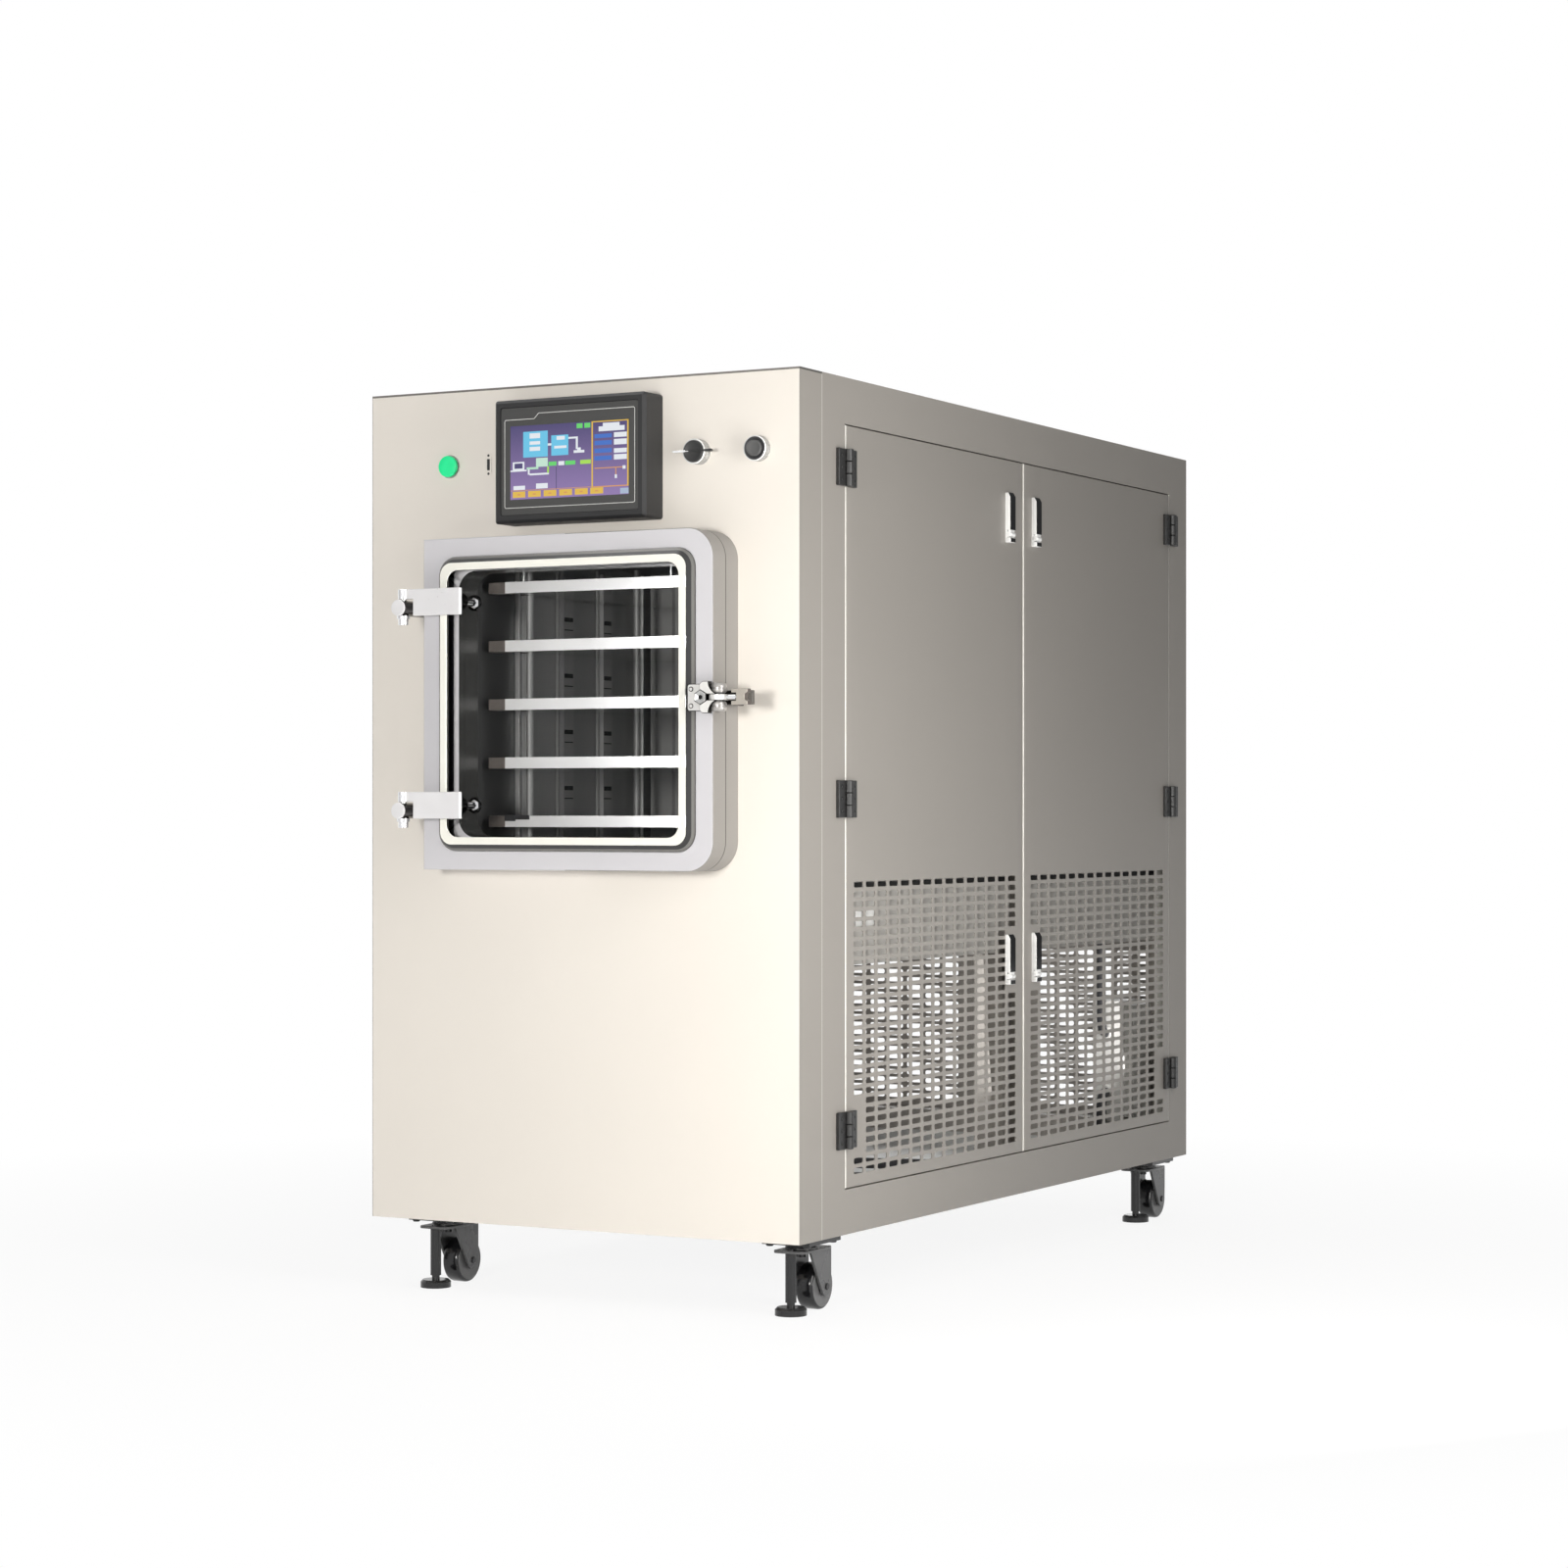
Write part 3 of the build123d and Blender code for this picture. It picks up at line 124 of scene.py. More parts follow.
class Recipe:
    """The node tree of a material or a world."""

    def __init__(self, owner):
        owner.use_nodes = True
        self.tree = owner.node_tree
        self.tree.nodes.clear()

    def give(self, socket, value):
        """Links an amount into a socket, or sets a plain value on it."""
        if isinstance(value, Amount):
            self.tree.links.new(value.socket, socket)
        elif isinstance(value, tuple) and socket.type == "RGBA":
            socket.default_value = (*value, 1.0)
        else:
            socket.default_value = value

    def node(self, kind, settings=None, inputs=None, output=0):
        """Any node, by its type, its settings and the values or links of its sockets."""
        made = self.tree.nodes.new(kind)
        for setting, value in (settings or {}).items():
            setattr(made, setting, value)
        for key, value in (inputs or {}).items():
            self.give(made.inputs[key], value)
        return Amount(self, made.outputs[output]) if made.outputs else made

    def place(self):
        """The place on the piece, in metres."""
        return self.node("ShaderNodeTexCoord", output="Object")

    def vector(self, operation, first, second=(0.0, 0.0, 0.0), output="Vector"):
        inputs = {0: first, 1: second}
        return self.node("ShaderNodeVectorMath", {"operation": operation}, inputs, output)

    def axes(self):
        """Across, back and up as three amounts, in metres."""
        split = self.node("ShaderNodeSeparateXYZ", None, {0: self.place()})
        return [Amount(self, output) for output in split.socket.node.outputs]

    def noise(self, scale, detail=2.0, stretch=(1.0, 1.0, 1.0)):
        """Cloudy variation from 0 to 1, around 0.5."""
        points = self.vector("MULTIPLY", self.place(), stretch)
        inputs = {"Vector": points, "Scale": scale, "Detail": detail}
        return self.node("ShaderNodeTexNoise", None, inputs)

    def blend(self, share, first, second):
        """The first colour, turning into the second as the share goes from 0 to 1."""
        inputs = {0: share, 6: first, 7: second}
        return self.node("ShaderNodeMix", {"data_type": "RGBA"}, inputs, 2)

    def ramp(self, amount, low, high, start=0.0, end=1.0):
        """The start value below the low amount, the end value above the high one, even between."""
        return self.node("ShaderNodeMapRange", None, {0: amount, 1: low, 2: high, 3: start, 4: end})

    def ray(self, kind):
        """1 for light of one kind, and 0 for the rest."""
        return self.node("ShaderNodeLightPath", output=f"Is {kind} Ray")


class Finish(Recipe):
    """One material, with its shader's fixed values given once."""

    def __init__(self, name, **fixed):
        self.material = bpy.data.materials.new(name)
        super().__init__(self.material)
        self.shader = self.tree.nodes.new("ShaderNodeBsdfPrincipled")
        self.node("ShaderNodeOutputMaterial", None, {0: Amount(self, self.shader.outputs[0])})
        for socket, value in fixed.items():
            self.drive(socket.replace("_", " "), value)

    def drive(self, socket, value):
        """Feeds a value or a varying amount into the shader."""
        self.give(self.shader.inputs[socket], value)

    def bump(self, height, strength, distance):
        """Raises the surface where the height is large."""
        inputs = {"Strength": strength, "Distance": distance, "Height": height}
        self.drive("Normal", self.node("ShaderNodeBump", None, inputs))


print("recipes read a place in metres and answer in numbers")

# %% [markdown]
# ## Camera, lamps and floor
# The machine is seen from its right-hand front corner, at the height of the cabinet's middle, with
# upright edges kept upright. That needs a level camera and a little vertical shift.

# %% Camera
CAMERA_AT = Vector((2.352, -4.3695, 0.638))
CAMERA_TOWARDS = Vector((-0.4772, 0.8788, 0.0))
camera = bpy.data.objects.new("camera", bpy.data.cameras.new("camera"))
bpy.context.scene.collection.objects.link(camera)
camera.location = CAMERA_AT
camera.rotation_euler = CAMERA_TOWARDS.to_track_quat("-Z", "Y").to_euler()
camera.data.lens = 78.2
camera.data.sensor_width = 36.0
camera.data.shift_y = 0.01875
camera.data.clip_end = 200.0
bpy.context.scene.camera = camera
bpy.context.scene.view_settings.view_transform = "Standard"
print("camera is", round(CAMERA_AT.length, 2), "m from the middle of the floor")

# %% [markdown]
# The light is a plain studio: a dim even surround, a soft lamp in front, a little to the right, so
# that shadows lie close behind what stands proud, and a weaker, tall lamp near the right side's
# front edge, so that side falls off towards the rear. Wide lamps above and behind keep the top and
# the back readable. Two slim strips, which only light and aren't seen, fill the chamber and the
# machine room.

# %% Lamps
WARM_WHITE = (1.0, 0.985, 0.955)


def lamp(name, place, towards, size, watts, tint=(1.0, 1.0, 1.0)):
    """A soft lamp of a width and a height that looks at a point."""
    data = bpy.data.lights.new(name, "AREA")
    data.shape = "RECTANGLE"
    data.size, data.size_y = size
    data.energy = watts
    data.color = tint
    made = bpy.data.objects.new(name, data)
    bpy.context.scene.collection.objects.link(made)
    made.location = place
    made.rotation_euler = (Vector(towards) - Vector(place)).to_track_quat("-Z", "Y").to_euler()
    return made


lamp("front_lamp", (0.5, -3.4, 0.85), (0.1, -0.6, 0.75), (0.36, 0.36), 45.0, WARM_WHITE)
lamp("side_lamp", (1.3, -0.9, 0.75), (0.33, -0.3, 0.65), (0.5, 1.3), 18.0, WARM_WHITE)
lamp("top_lamp", (-0.8, -0.2, 4.6), (0.0, 0.0, 1.0), (3.0, 3.0), 50.0)
lamp("rear_lamp", (-1.8, 4.4, 2.2), (0.0, 0.6, 0.6), (2.5, 2.5), 60.0)
strip = lamp("chamber_strip", spot(186, 14, 686), spot(-157, 230, 686), (0.02, 0.36), 2.2)
room = lamp("machine_room", spot(280, 650, 240), spot(-300, 650, 200), (1.0, 0.2), 2.6)
for hidden in (strip, room):
    hidden.visible_camera = hidden.visible_glossy = False

# %% [markdown]
# Polished metal needs something dark to mirror, or it looks like white paint. So the surround that
# metal and glass see has two narrow dark flags beside the lamps, and it darkens behind the machine on
# the right. A direction is compared with each flag's own direction by a dot product.

# %% Surround
FLAGS = ((-49, 6, 9, 0.06), (93, 7, 11, 0.08), (155, 26, 44, 0.3))
MATT_LIGHT = 0.19

world = bpy.data.worlds.new("surround")
bpy.context.scene.world = world
surround = Recipe(world)
heading = surround.node("ShaderNodeTexCoord", output="Generated")
level = surround.vector("NORMALIZE", surround.vector("MULTIPLY", heading, (1.0, 1.0, 0.0)))
mirror_light = 1.0
for degrees, core, edge, keep in FLAGS:
    aim = (math.sin(math.radians(degrees)), -math.cos(math.radians(degrees)), 0.0)
    facing = surround.vector("DOT_PRODUCT", level, aim, "Value")
    far, near = math.cos(math.radians(edge)), math.cos(math.radians(core))
    mirror_light = mirror_light * surround.ramp(facing, far, near, 1.0, keep)
shares = {0: surround.ray("Glossy"), 2: MATT_LIGHT, 3: mirror_light}
shown = surround.node("ShaderNodeMix", None, shares)
strength = surround.ray("Camera").larger(surround.ray("Transmission")).larger(shown)
sky = surround.node("ShaderNodeBackground", None, {"Color": (1.0, 1.0, 1.0), "Strength": strength})
surround.node("ShaderNodeOutputWorld", None, {0: sky})
print("flags face", [flag[0] for flag in FLAGS], "degrees from the front")

# %% [markdown]
# The floor is one large white sheet, marked as stage so that it isn't part of the machine. It mixes a
# plain white with a real matt surface. The matt share keeps the machine's soft shadow, and it fades
# out with the distance, so that the floor meets the white surround without an edge.

# %% Floor
bpy.ops.mesh.primitive_plane_add(size=120.0)
floor = bpy.context.object
floor.name = "studio_floor"
floor.data.materials.append(bpy.data.materials.new("studio_paper"))
paper = Recipe(floor.data.materials[0])
seen = paper.ray("Camera").larger(paper.ray("Transmission")).larger(paper.ray("Glossy"))
away = paper.vector("LENGTH", paper.place(), output="Value")
white_share = seen * paper.ramp(away, 0.7, 2.0, 0.88, 1.0)
matt = paper.node("ShaderNodeBsdfDiffuse", None, {"Color": (0.9, 0.9, 0.9)})
white = paper.node("ShaderNodeEmission")
mixed = paper.node("ShaderNodeMixShader", None, {0: white_share, 1: matt, 2: white})
paper.node("ShaderNodeOutputMaterial", None, {0: mixed})
floor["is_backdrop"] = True
print("floor", floor.dimensions.x, "m across")

# %% [markdown]
# ## Working by hand, from a script
# Each new piece starts as a simple solid at its size and place, and is then shaped in edit mode. These
# few helpers do what the mouse would: deselect everything, pick faces or edges by where they are,
# extrude, inset and bevel. Picking by place keeps every step readable and repeatable.

# %% Picking, pushing and naming
TOWARDS = {
    "front": (0, -1, 0), "back": (0, 1, 0), "right": (1, 0, 0), "left": (-1, 0, 0),
    "up": (0, 0, 1), "down": (0, 0, -1),
}


def only(piece):
    """Makes one object the selected and active one."""
    bpy.ops.object.select_all(action="DESELECT")
    piece.select_set(True)
    bpy.context.view_layer.objects.active = piece
    return piece


def name_it(piece, name):
    piece.name = piece.data.name = name
    return piece


def settle(piece, name):
    """Names a piece and moves its place, turn and size into its mesh."""
    only(piece)
    bpy.ops.object.transform_apply(location=True, rotation=True, scale=True)
    return name_it(piece, name)


@contextlib.contextmanager
def editing(piece):
    """Edit mode on one piece, with nothing selected at first."""
    only(piece)
    bpy.ops.object.mode_set(mode="EDIT")
    bpy.ops.mesh.select_mode(type="FACE")
    bpy.ops.mesh.select_all(action="DESELECT")
    yield
    bpy.ops.object.mode_set(mode="OBJECT")


def pick(piece, kind, test):
    """Selects the vertices, edges or faces that pass a test, in edit mode."""
    bpy.ops.mesh.select_mode(type=kind)
    bpy.ops.mesh.select_all(action="DESELECT")
    mesh = bmesh.from_edit_mesh(piece.data)
    group = {"VERT": mesh.verts, "EDGE": mesh.edges, "FACE": mesh.faces}[kind]
    chosen = [part for part in group if test(part)]
    for part in chosen:
        part.select_set(True)
    mesh.select_flush_mode()
    bmesh.update_edit_mesh(piece.data)
    return len(chosen)


def place_selected(piece, change):
    """Gives each selected vertex a new place, in edit mode."""
    mesh = bmesh.from_edit_mesh(piece.data)
    for vertex in mesh.verts:
        if vertex.select:
            vertex.co = change(vertex.co.copy())
    bmesh.update_edit_mesh(piece.data)


def push(x=0.0, y=0.0, z=0.0):
    """Extrudes what is selected by a step in millimetres."""
    bpy.ops.mesh.extrude_region_move(TRANSFORM_OT_translate={"value": (x * MM, y * MM, z * MM)})


def face_outwards():
    bpy.ops.mesh.select_all(action="SELECT")
    bpy.ops.mesh.normals_make_consistent(inside=False)


def raise_face(piece, towards, border, *step):
    """Insets the faces that look one way, and pushes them by a step."""
    with editing(piece):
        pick(piece, "FACE", lambda face: face.normal.dot(Vector(TOWARDS[towards])) > 0.9)
        bpy.ops.mesh.inset(thickness=border * MM)
        push(*step)


print("the mouse is not needed")

# %% [markdown]
# Solids come next: a box between its limits, a piece turned ring by ring like on a lathe, and a flat
# outline with a thickness. A few finishing steps round their edges, cut them, join them and copy them.

# %% Solids and finishing steps
PLATE_SIDES = {
    "front": ((1, 0, 0), (0, 0, 1)), "right": ((0, 1, 0), (0, 0, 1)), "up": ((1, 0, 0), (0, 1, 0)),
}


def added(primitive, **settings):
    """The object that one of Blender's primitives makes."""
    bpy.ops.object.select_all(action="DESELECT")
    primitive(**settings)
    return bpy.context.object


def block(name, xs, depths, rises):
    """A box between its limits, in millimetres."""
    low, high = spot(xs[0], depths[0], rises[0]), spot(xs[1], depths[1], rises[1])
    cube = bpy.ops.mesh.primitive_cube_add
    return settle(added(cube, size=1.0, location=(low + high) / 2, scale=high - low), name)


def disc(count, radius=1.0, fill="NGON"):
    """A flat ring of vertices round the origin, the start of most pieces."""
    return added(bpy.ops.mesh.primitive_circle_add, vertices=count, radius=radius, fill_type=fill)


def turned(name, place, towards, rings, sides=32):
    """A round piece built up ring by ring: (radius, distance along its axis), in millimetres."""
    radius, along = rings[0]
    piece = disc(sides, radius * MM)
    piece.location.z = along * MM
    settle(piece, name)
    with editing(piece):
        bpy.ops.mesh.select_all(action="SELECT")
        for wider, reach in rings[1:]:
            push(z=reach - along)
            grow = (wider / radius, wider / radius, 1)
            bpy.ops.transform.resize(value=grow, center_override=(0, 0, reach * MM))
            radius, along = wider, reach
        face_outwards()
    axis = Vector(TOWARDS[towards])
    piece.rotation_euler = axis.to_track_quat("Z", "X" if axis.z else "Y").to_euler()
    piece.location = place
    return settle(piece, name)


def plate(name, outline, place, towards, thickness):
    """An outline in millimetres with a thickness: (across, up), or (across, back) on a floor."""
    piece = disc(len(outline))
    for vertex, (across, up) in zip(piece.data.vertices, outline):
        vertex.co = (across * MM, up * MM, 0.0)
    settle(piece, name)
    with editing(piece):
        bpy.ops.mesh.select_all(action="SELECT")
        push(z=thickness)
        face_outwards()
    side, above = (Vector(v) for v in PLATE_SIDES[towards])
    turn = Matrix((side, above, side.cross(above))).transposed().to_4x4()
    piece.matrix_world = Matrix.Translation(place) @ turn
    return settle(piece, name)


def arc(centre, radius, start, end, steps):
    """Points on an arc between two angles in degrees."""
    turns = [math.radians(start + (end - start) * i / steps) for i in range(steps + 1)]
    across, up = centre
    return [(across + radius * math.cos(turn), up + radius * math.sin(turn)) for turn in turns]


def rounded(width, height, radius, steps=5):
    """The outline of a rectangle with rounded corners, anticlockwise."""
    points = []
    for side, end, start in ((1, 1, 0), (-1, 1, 90), (-1, -1, 180), (1, -1, 270)):
        corner = (side * (width / 2 - radius), end * (height / 2 - radius))
        points += arc(corner, radius, start, start + 90, steps)
    return points


def modify(piece, kind, **settings):
    """Applies one modifier with its settings."""
    only(piece)
    modifier = piece.modifiers.new(kind, kind)
    for setting, value in settings.items():
        setattr(modifier, setting, value)
    bpy.ops.object.modifier_apply(modifier=modifier.name)
    return piece


def soften(piece, width, angle=40.0, steps=2):
    """Rounds every edge sharper than an angle, and shades the curved faces smoothly."""
    only(piece)
    bpy.ops.object.shade_smooth()
    return modify(
        piece, "BEVEL", width=width * MM, segments=steps, limit_method="ANGLE",
        angle_limit=math.radians(angle), use_clamp_overlap=True, harden_normals=True,
    )


def smooth(piece, angle=35.0):
    """Shades a piece smoothly, except across edges sharper than an angle."""
    only(piece)
    bpy.ops.object.shade_smooth_by_angle(angle=math.radians(angle))
    return piece


def cut(piece, tool):
    """Takes one solid out of another."""
    modify(piece, "BOOLEAN", operation="DIFFERENCE", solver="EXACT", object=tool)
    bpy.data.objects.remove(tool)
    return piece


def weld(name, pieces):
    """Joins pieces that share a finish into one."""
    bpy.ops.object.select_all(action="DESELECT")
    for piece in pieces:
        piece.select_set(True)
    bpy.context.view_layer.objects.active = pieces[0]
    bpy.ops.object.join()
    return name_it(pieces[0], name)


def twin(piece, name, about_x=None, about_depth=None, move=(0.0, 0.0, 0.0)):
    """A copy with its own mesh, moved in millimetres, and mirrored about upright planes if asked."""
    copy = piece.copy()
    copy.data = piece.data.copy()
    bpy.context.scene.collection.objects.link(copy)
    change = Matrix.Translation(Vector(move) * MM)
    mirrors = []
    if about_x is not None:
        mirrors.append(((2 * about_x * MM, 0, 0), (-1, 1, 1, 1)))
    if about_depth is not None:
        mirrors.append(((0, 2 * (FRONT + about_depth * MM), 0), (1, -1, 1, 1)))
    for offset, flip in mirrors:
        change = Matrix.Translation(offset) @ Matrix.Diagonal(flip) @ change
    copy.data.transform(change)
    if len(mirrors) == 1:
        copy.data.flip_normals()
    return name_it(copy, name)


def dress(piece, finish, body):
    """Gives a piece its finish and its moving body."""
    piece.data.materials.clear()
    piece.data.materials.append(finish.material)
    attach(piece, body)
    return piece


print("helpers ready")

# %% [markdown]
# ## Finishes of the cabinet
# The cabinet is satin sheet steel in a warm champagne tone: half metal, half lacquer. Its sides take a
# much darker tone of the same sheet, a painted shade. Its grain is very fine, so it shows only as a
# soft sheen.
# Where the front sheet's folded side ends, a faint painted highlight line runs beside a painted shadow
# line;
# the doors' bent edges carry painted highlights, and the top edge carries a thin dark shadow line.

# %% Satin sheet steel
CHAMPAGNE = (0.78, 0.735, 0.675)
SIDE_SHADE_TONE = (0.29, 0.272, 0.25)
SIDE_STARTS = 326.2
SEAM_DEPTH = 60.0
RIM_RISE = 1102.2
DOOR_BENDS = ((124.2, 1.8), (675.7, 2.5), (1227.2, 1.8))


def shade(tone, factor):
    return tuple(value * factor for value in tone)


def satin_sheet(name, tone, seams=True, bends=()):
    """Champagne sheet steel with a fine grain, slow changes of tone, painted shade on the sides and
    painted highlights on bends.
    """
    finish = Finish(name, Metallic=0.12, IOR=1.38)
    across, back, up = finish.axes()
    cloud = finish.noise(1.6, 3.0)
    colour = finish.blend(cloud, shade(tone, 0.95), shade(tone, 1.04))
    if seams:
        # The sides take a much darker tone of the same sheet: painted shade.
        side = abs(across) > SIDE_STARTS * MM
        colour = finish.blend(side, colour, SIDE_SHADE_TONE)
        # Where the fold ends, a light line is a painted highlight, and the dark line behind it is a
        # painted shadow.
        start, bend, end = (FRONT + (SEAM_DEPTH + step) * MM for step in (-0.9, 0.4, 1.1))
        seam_highlight = (back > start) * (back < bend) * side
        shadow = (back > bend) * (back < end) * side
        colour = finish.blend(seam_highlight * 0.6, colour, (0.92, 0.9, 0.86))
        colour = finish.blend(shadow * 0.55, colour, (0.1, 0.095, 0.09))
        rim = up > spot(0, 0, RIM_RISE).z
        colour = finish.blend(rim * 0.8, colour, (0.045, 0.043, 0.042))
    # The doors' bent edges get a light line: a painted highlight.
    for depth, reach in bends:
        edge = abs(back - (FRONT + depth * MM)) < reach * MM
        colour = finish.blend(edge * 0.75, colour, (0.95, 0.93, 0.88))
    finish.drive("Base Color", colour)
    grain = finish.noise(2600.0, 2.0, (1.0, 1.0, 0.25))
    finish.drive("Roughness", 0.34 + 0.1 * cloud + 0.05 * grain)
    finish.bump(grain, 0.04, 0.00004)
    return finish


cabinet_sheet = satin_sheet("champagne_sheet", CHAMPAGNE)
frame_sheet = satin_sheet("grey_champagne_sheet", SIDE_SHADE_TONE, seams=False)
door_sheet = satin_sheet("door_sheet", SIDE_SHADE_TONE, seams=False, bends=DOOR_BENDS)
print("front", CHAMPAGNE, "and sides", SIDE_SHADE_TONE)

# %% [markdown]
# ## Bright and dark metals
# Hinges, latches and the shelves are polished or plated. Real chrome isn't a perfect mirror: a cloudy
# change of roughness and a trace of fine wiping marks keep it from looking drawn.

# %% Metals
ACROSS, UPWARDS = (0.1, 1.0, 1.0), (1.0, 1.0, 0.08)
WIPE_SCALE, WIPE_DEPTH = 380.0, 0.00005


def plated(name, tone, roughness, streaks=(1.0, 1.0, 1.0), metallic=1.0, wiped=0.03):
    """Polished or brushed metal, with wiping marks along its long direction."""
    finish = Finish(name, Metallic=metallic)
    marks = finish.noise(WIPE_SCALE, 3.0, streaks)
    cloud = finish.noise(14.0, 2.0)
    finish.drive("Base Color", finish.blend(cloud, shade(tone, 0.86), tone))
    finish.drive("Roughness", roughness + 0.12 * cloud * marks)
    finish.bump(marks, wiped, WIPE_DEPTH)
    return finish


chrome = plated("bright_chrome", (0.86, 0.86, 0.87), 0.08)
satin_chrome = plated("satin_plate", (0.8, 0.79, 0.8), 0.26, metallic=0.25, wiped=0.002)
clamp_chrome = plated("clamp_plate", (0.74, 0.73, 0.71), 0.34, metallic=0.2, wiped=0.004)
# The clamp's lobes get a darker copy of its metal: painted shade.
clamp_grey_shaded = plated("clamp_grey_shaded", (0.4, 0.385, 0.37), 0.3, metallic=0.5)
handle_bright = plated("bright_handle", (0.95, 0.95, 0.94), 0.16, metallic=0.3)
zinc = plated("zinc_plate", (0.62, 0.63, 0.62), 0.32)
shelf_plate = plated("shelf_steel", (0.8, 0.8, 0.79), 0.06, ACROSS, wiped=0.01)
copper = plated("copper_pipe", (0.82, 0.42, 0.26), 0.22)
# The collars' chrome is darkened as painted shade, and so is the latch's boss.
collar_chrome_shaded = plated("collar_chrome_shaded", (0.5, 0.5, 0.49), 0.22, metallic=0.7)
baffle_metal = plated("dull_baffle_steel", (0.24, 0.24, 0.237), 0.46, UPWARDS, metallic=0.3)
# Near black: the hinge washers' own colour, and painted shade round the latch clamp's faces.
black_washer_and_shade = plated("dark_washer", (0.03, 0.03, 0.03), 0.16)
# Dark chrome for the posts' shafts and the keeper's supports: painted shade.
shaded_shaft_chrome = plated("post_shaft_painted_shade", (0.14, 0.135, 0.13), 0.14)
print("metals:", [m.name for m in bpy.data.materials])

# %% [markdown]
# Inside, the chamber's wall is painted dark as shade: nearly black and smooth up to the first upright,
# and a little lighter behind it. Its outside, which shows when a service door is open, is bright. A
# place is outside where it lies past the wall's middle, to a side, above, below or behind.

# %% The chamber's wall
CHAMBER_X, CHAMBER_RISE = 19.0, 686.0
FIRST_UPRIGHT = 120.0
WALL_MIDDLE = (198.0, 204.0, 518.0)

chamber_wall = Finish("polished_chamber_steel", Metallic=0.12)
across, back, up = chamber_wall.axes()
cloud = chamber_wall.noise(9.0, 2.0)
centre = spot(CHAMBER_X, 0, CHAMBER_RISE)
beside = abs(across - centre.x) > WALL_MIDDLE[0] * MM
above = abs(up - centre.z) > WALL_MIDDLE[1] * MM
behind = back > FRONT + WALL_MIDDLE[2] * MM
near_opening = back < FRONT + FIRST_UPRIGHT * MM
# Both inner tones are painted shade: nearly black near the opening, and a little lighter behind it.
near_opening_shade = chamber_wall.blend(cloud, (0.018, 0.018, 0.018), (0.028, 0.028, 0.0275))
rear_shade_part = chamber_wall.blend(cloud, (0.165, 0.165, 0.163), (0.215, 0.215, 0.212))
inner_shade_tone = chamber_wall.blend(near_opening, rear_shade_part, near_opening_shade)
outer_tone = chamber_wall.blend(cloud, (0.46, 0.46, 0.45), (0.54, 0.54, 0.53))
outside = beside + above + behind > 0.5
chamber_wall.drive("Base Color", chamber_wall.blend(outside, inner_shade_tone, outer_tone))
brushed = chamber_wall.noise(WIPE_SCALE, 3.0, (1.0, 0.1, 1.0))
chamber_wall.drive("Roughness", 0.46 + 0.12 * cloud * brushed)
chamber_wall.bump(brushed, 0.03, WIPE_DEPTH)
print("the wall's tones change", FIRST_UPRIGHT, "mm behind the front")

# %% [markdown]
# ## Paint, plastic and rubber
# Moulded and painted parts share one recipe: a fine grain in the surface, a slightly uneven tone, and
# a roughness of their own. The numbers make the difference between a soft case and a hard button.

# %% Painted and moulded finishes
def moulded(name, tone, roughness, grain=900.0, depth=0.00006, uneven=0.1, sheen=1.48):
    """Paint, plastic or rubber with a fine moulded grain; sheen is its refractive index."""
    finish = Finish(name, IOR=sheen)
    cloud = finish.noise(22.0, 3.0)
    finish.drive("Base Color", finish.blend(cloud, shade(tone, 1 - uneven), tone))
    finish.drive("Roughness", roughness + 0.1 * (cloud - 0.5))
    finish.bump(finish.noise(grain, 2.0), 0.25, depth)
    return finish


ring_paint = moulded("cream_clamp_ring", (0.88, 0.87, 0.8), 0.3, 600.0, 0.00003, 0.05)
panel_case = moulded("panel_grey_case", (0.02, 0.02, 0.021), 0.5, 1400.0, 0.00005, sheen=1.4)
silicone = moulded("pale_silicone", (0.7, 0.69, 0.66), 0.55, 300.0, 0.00008)
green_cap = moulded("green_lens", (0.02, 0.95, 0.36), 0.3, 200.0, 0.00002, 0.05)
dark_cap = moulded("charcoal_cap", (0.036, 0.036, 0.036), 0.45, sheen=1.35)
grey_cap = moulded("grey_cap", (0.105, 0.105, 0.105), 0.5, sheen=1.3)
black_plastic = moulded("black_plastic", (0.022, 0.022, 0.024), 0.4)
black_metal = moulded("black_enamel", (0.015, 0.015, 0.016), 0.2, 700.0, 0.00002)
# Black gloss stands for shade: the lever bars' outer faces, the latch feet's faces and the uprights'
# slots are painted with it.
shade_black_gloss = moulded("shade_black_gloss", (0.005, 0.005, 0.006), 0.3, 300.0, 0.00001, sheen=1.2)
hinge_black = moulded("hinge_black", (0.016, 0.016, 0.016), 0.34, 900.0, 0.00004)
tyre_black = moulded("tyre_black", (0.009, 0.009, 0.01), 0.16, 240.0, 0.00004)
rubber_foam = moulded("foam_sleeve", (0.02, 0.02, 0.02), 0.7, 300.0, 0.0003)
pump_paint = moulded("pump_grey", (0.33, 0.35, 0.37), 0.42, 420.0, 0.0001)
compressor_paint = moulded("compressor_black", (0.025, 0.025, 0.026), 0.36, 300.0, 0.0001)
print("finishes so far:", len(bpy.data.materials))

# %% [markdown]
# ## Service doors
# Each side has two tall doors, folded from sheet, with rows of rounded slots in the lower part. Drawing
# every slot by hand would be long work. One slot with its share of sheet is modelled once, repeated
# along a row and then down the door, and only the rows beside a hinge or a latch have a slot closed.

# %% One slot, then a field of slots
SLOT, SLOT_CORNER = (26.7, 7.8), 2.7
PITCH = (34.0, 12.8)
COLUMNS, ROWS = 15, 30
DOOR_DEPTHS = (124.2, 674.2)
DOOR_RISES = (59.5, 1043.5)
TOP_ROW = 450.7
HINGE_RISES = (988.0, 561.5, 135.0)
LATCH_RISES = (962.0, 336.0)
SKIN = 1.5
FACE_X = 327.0


